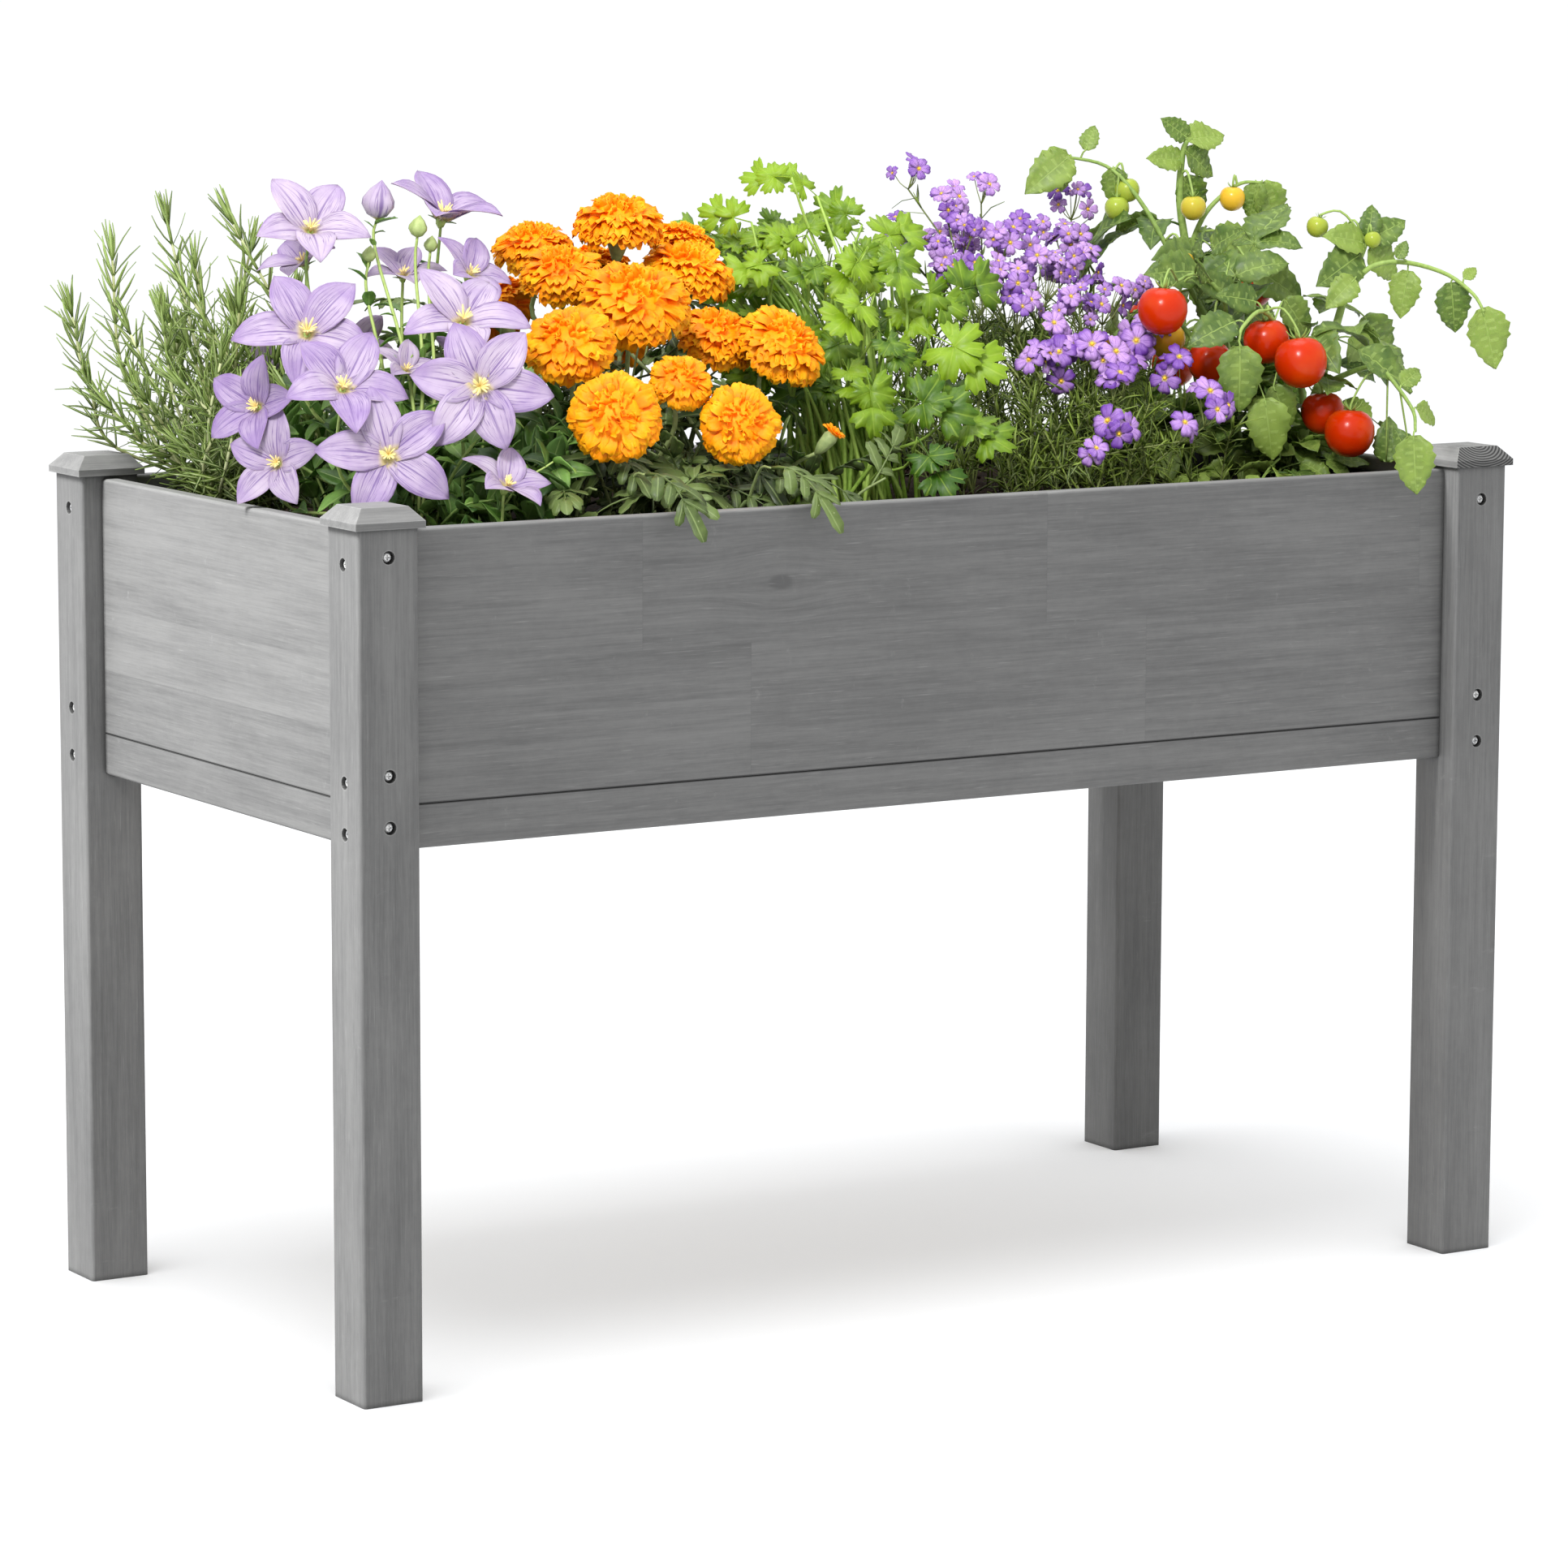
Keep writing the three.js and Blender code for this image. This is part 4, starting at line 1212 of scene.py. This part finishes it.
def parsley_spray(k, leaflets, draw):
    """Three leaflets at the end of a short stalk that grows along +Y."""
    run = curve([(0, 0, 0), (0, 0.020, 0.001), (0, 0.040, -0.003 - 0.003 * (k % 3))], 6)
    forms = [tube(run, np.linspace(0.0009, 0.0006, 6), 4)]
    for side in (-1, 1):
        turn = side * 1.2 + draw.uniform(-0.15, 0.15)
        out = (math.sin(turn), math.cos(turn), -0.1)
        placing = pointing(run[3], out, UP + draw.uniform(-0.4, 0.4, 3), draw.uniform(0.75, 0.95))
        forms.append(leaflets[draw.randint(5)].placed(placing))
    forms.append(leaflets[k % 5].placed(pointing(run[-1], (0, 1, -0.1), UP)))
    return joined(forms)


def grow_parsley(draw):
    stems, leaves = Heap(), Heap(keeps_clear=True)
    base = mm(70, 0, GROUND)
    leaflets = [parsley_leaflet(0.033, 1.1 * k) for k in range(5)]
    leaf_kinds = [parsley_spray(k, leaflets, draw) for k in range(6)]
    sprays = [(mm(*place), size) for place, size in PARSLEY_LEAVES]
    for _ in range(72):
        turn, out = draw.uniform(0, FULL_TURN), math.sqrt(draw.uniform(0.02, 1))
        height = draw.uniform(-0.9, 0.9)
        out *= math.sqrt(1 - 0.75 * height * height)
        place = mm(52 + 66 * out * math.cos(turn), 45 + 120 * out * math.sin(turn), 882 + 95 * height)
        sprays.append((place, draw.uniform(0.55, 0.85)))
    for i, (tip, size) in enumerate(sprays):
        out = (tip - base) * FLAT
        root = base + draw.uniform(-0.045, 0.045, 3) * FLAT + 0.1 * out
        middle = root + (tip - root) * (0.25, 0.25, 0.5) + draw.uniform(-0.008, 0.008, 3)
        high = root + (tip - root) * (0.62, 0.62, 0.83)
        aim = unit(out + 1e-6) * 0.7 + draw.uniform((-0.5, -0.5, -0.1), (0.5, 0, 0.3))
        face = 0.7 * UP - (0.4, 0.75, 0) + draw.uniform(-0.5, 0.5, 3)
        way = unit(aim - np.dot(aim, unit(face)) * unit(face))
        at = tip - 0.030 * size * way if i < len(PARSLEY_LEAVES) else tip
        tapered(stems, [root, middle, high, at], 0.0023, 0.0011, 12, 5, draw.uniform(0.2, 1))
        # Higher leaves get a lighter tint and lower ones a darker one.
        tint_by_height = strewn(0.35 + (tip[2] - 0.76) * 1.8, 0.3, draw)
        leaves.stamp(leaf_kinds[draw.randint(6)], pointing(at, way, face, size), tint_by_height)
    skin = stem_skin("parsley_stem", (110, 148, 44), (166, 196, 92))
    stems.piece("parsley_stems", [skin], "parsley_leaf")
    leaf = leaf_skin("parsley_green", (46, 82, 6), (124, 156, 22), (156, 180, 70), 0.0, 0.06, 0.2, 0.5,
                     rays=1.6)
    leaves.piece("parsley_leaves", [leaf], "parsley_leaf", "plant_parsley")


# Clusters of the small purple flower: the place in mm, the spread in mm, and how many blooms.
PURPLE_CLUSTERS = [
    ((207, 120, 1018), 17, 6), ((291, 120, 1000), 15, 5), ((241, 100, 985), 20, 9),
    ((396, 120, 985), 18, 7), ((322, 80, 955), 26, 9), ((254, -50, 872), 22, 5), ((236, -200, 798), 14, 3),
    ((187, -225, 776), 8, 2), ((352, -170, 812), 24, 5), ((289, -90, 849), 26, 7), ((375, -50, 875), 26, 7),
    ((264, 50, 950), 26, 9), ((215, 60, 940), 24, 8), ((300, 20, 925), 28, 9), ((345, -10, 900), 26, 8),
    ((210, 0, 905), 22, 7), ((250, 0, 915), 24, 7), ((335, -90, 862), 22, 5), ((310, -190, 790), 12, 3),
    ((255, -160, 830), 14, 3), ((390, 10, 905), 18, 5), ((180, 90, 965), 16, 5), ((270, 150, 940), 26, 7),
    ((330, 150, 900), 26, 7), ((210, 180, 900), 24, 6), ((232, 60, 962), 22, 7), ((262, 90, 958), 20, 6),
    ((290, 60, 930), 24, 7), ((228, 20, 925), 22, 6), ((196, 40, 925), 20, 6), ((240, -20, 892), 24, 6),
    ((278, -30, 895), 24, 7), ((312, -30, 890), 24, 7), ((322, 30, 935), 22, 6), ((350, 40, 930), 22, 6),
    ((250, -80, 850), 22, 5), ((300, -110, 835), 20, 4), ((345, -140, 838), 18, 3),
    ((222, -90, 850), 16, 4), ((370, 90, 948), 20, 6),
]
# Clusters below this height, in metres, have larger and flatter blooms.
NEAR_CLUSTERS = 0.89


def purple_petals():
    """Five petals, notched at the tip."""
    shape = outline((0, 0.25), (0.33, 0.72), (0.67, 1.0), (1, 0.86))
    kinds = []
    for k in range(5):
        def notch(along, across):
            back = along**4 * (0.0016 * (1 - np.abs(across)) + 0.0022 * across**4)
            return -back, 0.0009 * along**2 * np.sin(5 * across + 2 * k)
        droop = 0.3 + 0.2 * k
        petal = wavy_petal(shape, 0.0138, 0.0112, 4, droop, 0.05, -0.1, 0.05, 1.2, 1.7 * k, notch)
        kinds.append(thick(petal, THIN))
    return kinds


def grow_purple_flowers(draw):
    stems, foliage, blooms = Heap(), Heap(True, shown_places(PURPLE_CLUSTERS, 1.1)), Heap()
    base = mm(270, -20, GROUND)
    petal_kinds = purple_petals()
    sliver = outline((0, 0.6), (0.4, 1), (1, 0.15))
    leaf_kinds = [thick(blade(sliver, 0.026, 0.0030, 2, 1, droop), FIRM) for droop in (-0.3, 0.1, 0.5, 0.9)]
    eye = turned([(0.0003, -0.001), (0.0016, 0.0), (0.0013, 0.0014), (0.0003, 0.002)], 7)
    cup = turned([(0.0005, -0.005), (0.0013, -0.004), (0.0019, -0.001), (0.0009, 0.0005)], 6)
    for at, spread, count in PURPLE_CLUSTERS:
        at = mm(*at)
        root = base + draw.uniform((-0.09, -0.11, 0), (0.09, 0.11, 0)) + 0.2 * (at - base) * FLAT
        middle = 0.5 * (root + at) + draw.uniform(-0.012, 0.012, 3)
        path = tapered(stems, [root, middle, at - mm(0, 0, spread)], 0.0013, 0.0008, 14, 5, draw.rand())
        stamp_leaves(foliage, leaf_kinds, path, np.arange(0.05, 0.98, 0.018), draw, 0.8, (0.6, 1.15))
        near = at[2] < NEAR_CLUSTERS
        for _ in range(count):
            out = unit(draw.uniform((-1, -1.2, -0.4), (1, 0.7, 1)))
            seat = at + out * draw.uniform(0.5, 1) * spread / 1000
            axis = unit(0.7 * out + np.array([-0.3, -0.75, 0.45]) * draw.uniform(0.5, 1.2))
            size = draw.uniform(0.9, 1.25) if near else draw.uniform(0.5, 0.9)
            points = [path[-1], 0.5 * (path[-1] + seat) - mm(0, 0, 2), seat - 0.004 * axis]
            tapered(stems, points, 0.0007, 0.0005, 5, 4, 0.6)
            placing = facing(seat, axis, draw.uniform(0, 6), size)
            tint = draw.rand()
            for k in range(5):
                radial = spoke(FULL_TURN * k / 5 + draw.uniform(-0.1, 0.1))
                lean = 0.35 if near else draw.uniform(0.3, 0.8)
                way = pointing(0.0012 * radial, radial + lean * UP, UP - lean * radial)
                form = petal_kinds[draw.randint(5)].placed(way)
                blooms.stamp(form, placing, strewn(tint, 0.35, draw))
            blooms.stamp(eye, placing, 0.8, 1)
            blooms.stamp(cup, placing, 0.3, 2)
    for _ in range(100):
        low_growth(stems, foliage, leaf_kinds, draw, base, ((-0.15, -0.15, 0), (0.13, 0.24, 0)),
                   ((-0.06, -0.06, 0.02), (0.06, 0.05, 0.12)), lambda root: 0.35 * (root[1] - base[1] + 0.12),
                   12, (0.0012, 0.0006, 10, 4), np.arange(0.1, 1.01, 0.045), 0.7, (0.7, 1.2))
    skin = stem_skin("purple_flower_stem", (88, 98, 52), (140, 152, 86))
    stems.piece("purple_flower_stems", [skin], "purple_petal")
    leaf = leaf_skin("fine_foliage", (46, 64, 12), (122, 144, 50), (146, 162, 84), 0.0, 0.3, 0.2)
    foliage.piece("purple_flower_foliage", [leaf], "purple_petal")
    petal = veined_petal("small_purple_petal", (192, 152, 214), (104, 58, 156), (86, 34, 128),
                         (206, 182, 120), 0.16, 0.75)
    yolk = stem_skin("flower_eye", (232, 160, 24), (252, 200, 60))
    green = stem_skin("flower_cup", (110, 80, 90), (130, 140, 80))
    blooms.piece("purple_flowers", [petal, yolk, green], "purple_petal", "plant_purple_flower")


# Tomatoes: the place in mm, the radius in mm, and how ripe from 0 to 1.
TOMATOES = [
    ((338, -120, 895), 23.5, 1.0), ((463, -170, 845), 25, 0.98), ((459, -120, 862), 22, 1.0),
    ((407, -100, 843), 21, 1.0), ((512, -140, 793), 21, 0.98), ((514, -180, 777), 24, 0.98),
    ((517, -20, 902), 16, 0.98), ((392, -50, 861), 18, 0.55), ((421, 60, 998), 12, 0.1),
    ((409, 60, 981), 12, 0.05), ((478, 30, 981), 12.5, 0.3), ((524, 30, 989), 12.5, 0.5),
    ((577, -80, 955), 11, 0.05), ((546, -80, 966), 10.5, 0.15), ((590, -110, 954), 8, 0.1),
    ((448, 0, 931), 9, 0.5), ((470, 90, 870), 21, 0.95), ((520, 120, 820), 22, 0.98),
    ((430, 130, 840), 19, 0.6),
]
# The radius in mm above which a tomato is kept free of leaves before it.
LARGE_TOMATO = 21.5
# How many teeth a tomato leaflet has on each side.
TEETH = 6
# The places in mm that each vine runs through. The first two are the main stems.
TOMATO_VINES = [
    [(489, -50, 714), (494, -10, 800), (490, 40, 900), (478, 52, 980), (477, 48, 1030), (478, 42, 1046)],
    [(520, -80, 714), (528, -92, 780), (542, -100, 830),
     (563, -104, 902), (583, -102, 940), (590, -100, 952)],
    [(566, -104, 905), (580, -120, 928), (600, -145, 934),
     (608, -200, 926), (612, -238, 909), (612, -256, 893)],
    [(492, 20, 870), (450, 20, 930), (425, 40, 985), (405, 70, 1020), (378, 110, 1030)],
    [(484, 50, 930), (500, 40, 975), (530, 30, 1002), (556, 25, 1004)],
    [(490, -30, 780), (455, -60, 850), (430, -90, 900), (400, -90, 925), (372, -95, 920)],
    [(528, -90, 780), (500, -110, 840), (450, -130, 890), (404, -158, 880), (396, -162, 866)],
    [(540, -98, 815), (562, -130, 832), (552, -175, 836),
     (530, -225, 828), (508, -285, 806), (486, -318, 790)],
    [(495, 0, 820), (480, 60, 870), (450, 110, 900), (420, 150, 905)],
    [(500, -20, 790), (540, 60, 850), (560, 120, 860), (570, 170, 850)],
]
# The tomato leaflets that stand out: where the stalk ends and the way the leaflet points, in mm.
TOMATO_LEAFLETS = [
    ((604, -148, 926), (-8, 0, -42)), ((608, -210, 918), (4, -4, -46)), ((611, -254, 896), (14, -6, -54)),
    ((562, -120, 918), (-30, 0, -24)), ((590, -150, 938), (10, 0, 16)), ((612, -225, 922), (14, 0, 10)),
    ((484, -318, 786), (4, 0, -52)), ((525, -245, 826), (22, 0, 16)), ((512, -285, 808), (28, 0, -14)),
    ((396, -164, 862), (-4, -8, -58)), ((424, -166, 812), (6, -8, -56)), ((446, -150, 822), (16, -6, -40)),
    ((400, -150, 884), (-48, 0, -14)), ((440, -128, 900), (-40, -6, 10)), ((383, 104, 1030), (-46, 0, -30)),
    ((378, 106, 1032), (-4, 0, -34)), ((392, 90, 1036), (10, 0, 24)), ((408, 66, 1020), (4, 0, -36)),
    ((478, 42, 1046), (44, 0, 6)), ((478, 42, 1048), (-26, 0, 18)), ((478, 44, 1036), (34, 0, -24)),
    ((477, 48, 1026), (-36, 0, 4)), ((480, 50, 1010), (24, 0, -40)), ((556, 25, 1004), (22, 0, -44)),
    ((550, 26, 1004), (-6, 0, -34)), ((590, -100, 952), (40, -6, 20)), ((592, -100, 956), (6, 0, 30)),
    ((586, -102, 950), (-42, -6, 12)), ((580, -104, 940), (-48, -6, -24)),
    ((594, -100, 946), (30, -8, -30)), ((470, 0, 930), (-62, -20, 10)), ((492, 20, 945), (52, -20, 6)),
    ((505, -30, 925), (50, -20, -26)), ((420, -60, 925), (-54, -10, 6)), ((590, -98, 880), (34, 0, -44)),
    ((575, -96, 860), (30, 0, -40)), ((548, -232, 748), (-16, 0, 34)), ((550, -190, 748), (4, 0, 40)),
    ((548, -140, 748), (-14, 0, 42)), ((458, -60, 938), (-34, 0, -34)), ((505, 10, 915), (44, 0, 22)),
    ((530, 20, 890), (42, 0, -16)), ((440, -90, 905), (-40, 0, 18)), ((486, -110, 900), (26, -10, -34)),
    ((550, -90, 748), (8, 0, 46)), ((548, -40, 748), (-8, 0, 48)), ((550, 10, 748), (6, 0, 50)),
]


def tomato_leaflets():
    """Five toothed leaflets that droop more and more and are quilted between their veins."""
    oval = outline((0, 0.3), (0.12, 0.8), (0.3, 1.0), (0.5, 0.92), (0.7, 0.68), (0.87, 0.36), (1, 0.03))
    leaflets = []
    for k in range(5):
        droop = 0.3 + 0.25 * k
        form = blade(toothed(oval, TEETH, 0.15), 0.060, 0.044, 16, 4, droop, 0.25, 0.0, 0.035, 1.4, 1.3 * k)
        along, across = form.marks.T
        quilt = np.cos(FULL_TURN * (TEETH * along - 0.9 * np.abs(across)))
        form.points[:, 2] += 0.0010 * quilt * (1 - across**4)
        leaflets.append(thick(form, THIN))
    return leaflets


def grow_tomatoes(draw):
    shown = shown_places([place for place in TOMATOES if place[1] > LARGE_TOMATO], 1.0)
    vines, front, leaves, fruit = Heap(), Heap(True), Heap(True, shown), Heap()
    paths = []
    for i, points in enumerate(TOMATO_VINES):
        root, tip = (0.0058, 0.0024) if i < 2 else (0.0030, 0.0014)
        paths.append(tapered(vines, np.array(points) / 1000, root, tip, 22, 9, draw.uniform(0.4, 0.8)))
    leaflets = tomato_leaflets()
    leaf_kinds = [pinnate(leaflets, 0.080, pairs, 1.0, droop, 0.0012, draw, 0.4, 0.5)
                  for pairs, droop in ((1, 0.6), (2, 0.9), (1, 1.4), (1, 1.1), (2, 0.5))]
    every_place = np.vstack(paths)
    for at, way in TOMATO_LEAFLETS:
        at, way = mm(*at), mm(*way)
        hold = every_place[np.linalg.norm(every_place - at, axis=1).argmin()]
        points = [hold, 0.5 * (hold + at) + mm(0, 0, 2), at, at + 0.15 * way]
        tapered(vines, points, 0.0011, 0.0007, 7, 5, 0.6)
        face = np.array([-0.45, -0.8, 0.45]) + draw.uniform(-0.15, 0.15, 3)
        placing = pointing(at, way, face, np.linalg.norm(way) / 0.055)
        front.stamp(leaflets[draw.randint(2)], placing, draw.uniform(0.2, 0.9))
    for i, path in enumerate(paths[:2] + paths[5:7] + paths[8:]):
        shares = np.arange(0.1, 0.56, 0.05) if i < 2 else np.arange(0.15, 0.8, 0.16)
        stamp_leaves(leaves, leaf_kinds, path, shares, draw, 1.1, (0.65, 1.0))
    for _ in range(32):
        root = mm(486, 0, GROUND) + draw.uniform((-0.07, -0.14, 0), (0.05, 0.21, 0))
        rise = draw.uniform((-0.02, -0.02, 0.02), (0.02, 0.02, 0.06)) + 0.30 * max(0.0, root[1] + 0.08) * UP
        path = tapered(vines, [root, root + 0.5 * rise + mm(0, 0, 6), root + rise], 0.0017, 0.0011, 6, 5, 0.5)
        stamp_leaves(leaves, leaf_kinds, path, (0.5, 1.0), draw, 1.0, (0.6, 0.95))
    body = [(0.04, -0.985), (0.3, -0.95), (0.58, -0.82), (0.8, -0.6), (0.95, -0.3), (1.0, 0.0), (0.97, 0.3),
            (0.85, 0.58), (0.66, 0.77), (0.44, 0.87), (0.26, 0.87), (0.12, 0.82), (0.03, 0.79)]
    ball = turned(body, 28, 5, 0.012)
    sepal = thick(blade(outline((0, 0.9), (0.3, 1), (1, 0.12)), 0.62, 0.15, 5, 2, -0.9, 0.3), 0.02)
    for at, radius, ripe in TOMATOES:
        at, size = mm(*at), radius / 1000
        crown = at + 0.85 * size * UP
        distance = np.linalg.norm(every_place - (crown + mm(0, 0, 22)), axis=1)
        # A tomato hangs, so a vine above it holds it sooner than one below.
        distance += 0.6 * np.maximum(0, crown[2] - every_place[:, 2])
        hold = every_place[distance.argmin()]
        tilt = unit(UP + 0.25 * unit(hold - at) + draw.uniform(-0.12, 0.12, 3))
        placing = facing(at, tilt, draw.uniform(0, 6), size)
        fruit.stamp(ball, placing, ripe)
        knee = crown + 0.5 * (hold - crown) + mm(0, 0, 10 + 0.12 * 1000 * np.linalg.norm(hold - crown))
        stalk_foot = at + 0.78 * size * tilt
        tapered(vines, [hold, knee, stalk_foot + 0.4 * size * tilt, stalk_foot], 0.0013, 0.0011, 12, 6, 0.7)
        for k in range(6):
            radial = spoke(FULL_TURN * k / 6 + draw.uniform(-0.2, 0.2))
            form = sepal.placed(pointing(0.04 * radial + 0.83 * UP, radial + draw.uniform(0.1, 0.6) * UP, UP))
            vines.stamp(form, placing, 0.5)
    skin = stem_skin("tomato_vine", (100, 130, 56), (154, 178, 94))
    vines.piece("tomato_vines", [skin], "tomato_leaf")
    leaf = leaf_skin("tomato_leaf_green", (58, 84, 28), (124, 146, 62), (136, 158, 78), 6.0, 0.05, 0.25, 0.5)
    leaves.piece("tomato_leaves", [leaf], "tomato_leaf", "plant_tomato")
    front.piece("tomato_front_leaves", [leaf], "tomato_leaf")
    fruit.piece("tomato_fruit", [tomato_skin()], "tomato_leaf")


# Each part of the bed with the seed of its random draws.
BED = ((lay_soil, 5), (lay_liner, 6), (grow_rosemary, 11), (grow_balloon_flowers, 12), (grow_marigolds, 13),
       (grow_parsley, 14), (grow_purple_flowers, 15), (grow_tomatoes, 16))


# ---------------------------------------------------------------- camera, light and floor

CAMERA_AT = (-2.833, -4.639, 1.261)
CAMERA_YAW = 0.5477
CAMERA_PITCH = 0.1472
CAMERA_ROLL = 0.0032
CAMERA_LENS = 134.6
CAMERA_SENSOR = 36

# The sky's strength, and the floor's paint and glow. The lamps on the planter don't light the floor. It has a
# lamp of its own, so it stays white all round and keeps only the soft shadow that the planter throws.
SKY = 1.0
FLOOR_PAINT = (0.94, 0.95, 0.965, 1.0)
FLOOR_GLOW = 0.075
FLOOR_HALF = 500.0
MIDDLE = (0.0, 0.0, 0.7)

# Each lamp: its place, what it points at, its width and its watts. The key lights the woodwork from the left,
# and the garden lamp lights the plants from the front.
KEY = ((-3.3, 0.1, 4.0), MIDDLE, 1.8, 500)
OVERHEAD = ((0.4, 0.5, 4.4), MIDDLE, 2.6, 50)
GARDEN = ((-4.2, -4.4, 5.4), MIDDLE, 2.0, 560)
FLOOR_LAMP = ((-1.1, -0.8, 5.0), (0.0, 0.0, 0.0), 3.6, 130)


def add_camera():
    data = bpy.data.cameras.new("camera")
    data.lens = CAMERA_LENS
    data.sensor_width = CAMERA_SENSOR
    camera = bpy.data.objects.new("camera", data)
    bpy.context.scene.collection.objects.link(camera)
    turn = Matrix.Rotation(-CAMERA_YAW, 4, "Z") @ Matrix.Rotation(math.pi / 2 - CAMERA_PITCH, 4, "X")
    camera.matrix_world = Matrix.Translation(CAMERA_AT) @ turn @ Matrix.Rotation(CAMERA_ROLL, 4, "Z")
    bpy.context.scene.camera = camera


def add_lamp(name, at, aim, size, power, linked, state):
    """A round soft lamp that lights only the linked objects, or all but those."""
    data = bpy.data.lights.new(name, "AREA")
    data.shape = "DISK"
    data.size = size
    data.energy = power
    lamp = bpy.data.objects.new(name, data)
    lamp.location = at
    lamp.rotation_mode = "QUATERNION"
    lamp.rotation_quaternion = (Vector(aim) - Vector(at)).to_track_quat("-Z", "Y")
    lit = bpy.data.collections.new(name)
    for thing in linked:
        lit.objects.link(thing)
    for link in lit.collection_objects:
        link.light_linking.link_state = state
    lamp.light_linking.receiver_collection = lit
    bpy.context.scene.collection.objects.link(lamp)


def add_floor():
    floor_mesh = bpy.data.meshes.new("floor")
    corners = [(x * FLOOR_HALF, y * FLOOR_HALF, 0) for x, y in ((-1, -1), (1, -1), (1, 1), (-1, 1))]
    floor_mesh.from_pydata(corners, [], [(0, 1, 2, 3)])
    floor = bpy.data.objects.new("floor", floor_mesh)
    bpy.context.scene.collection.objects.link(floor)
    s = Shade("studio_floor")
    s.set(Base_Color=FLOOR_PAINT, Roughness=0.95, Specular_IOR_Level=0.0)
    s.set(Emission_Color=(1.0, 1.0, 1.0, 1.0), Emission_Strength=FLOOR_GLOW)
    floor_mesh.materials.append(s.material)
    floor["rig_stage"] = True
    return floor


def add_studio(plants):
    world = bpy.data.worlds.new("studio")
    world.use_nodes = True
    sky = world.node_tree.nodes["Background"]
    sky.inputs["Color"].default_value = (1.0, 1.0, 1.0, 1.0)
    sky.inputs["Strength"].default_value = SKY
    bpy.context.scene.world = world
    floor = add_floor()
    add_lamp("key", *KEY, [floor, *plants], "EXCLUDE")
    add_lamp("overhead", *OVERHEAD, [floor], "EXCLUDE")
    add_lamp("garden", *GARDEN, plants, "INCLUDE")
    add_lamp("floor_lamp", *FLOOR_LAMP, [floor], "INCLUDE")
    bpy.context.scene.view_settings.view_transform = "Standard"


add_camera()
dress_woodwork()
for lay_or_grow, seed in BED:
    lay_or_grow(np.random.RandomState(seed))
add_studio([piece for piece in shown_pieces() if "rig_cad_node" not in piece])
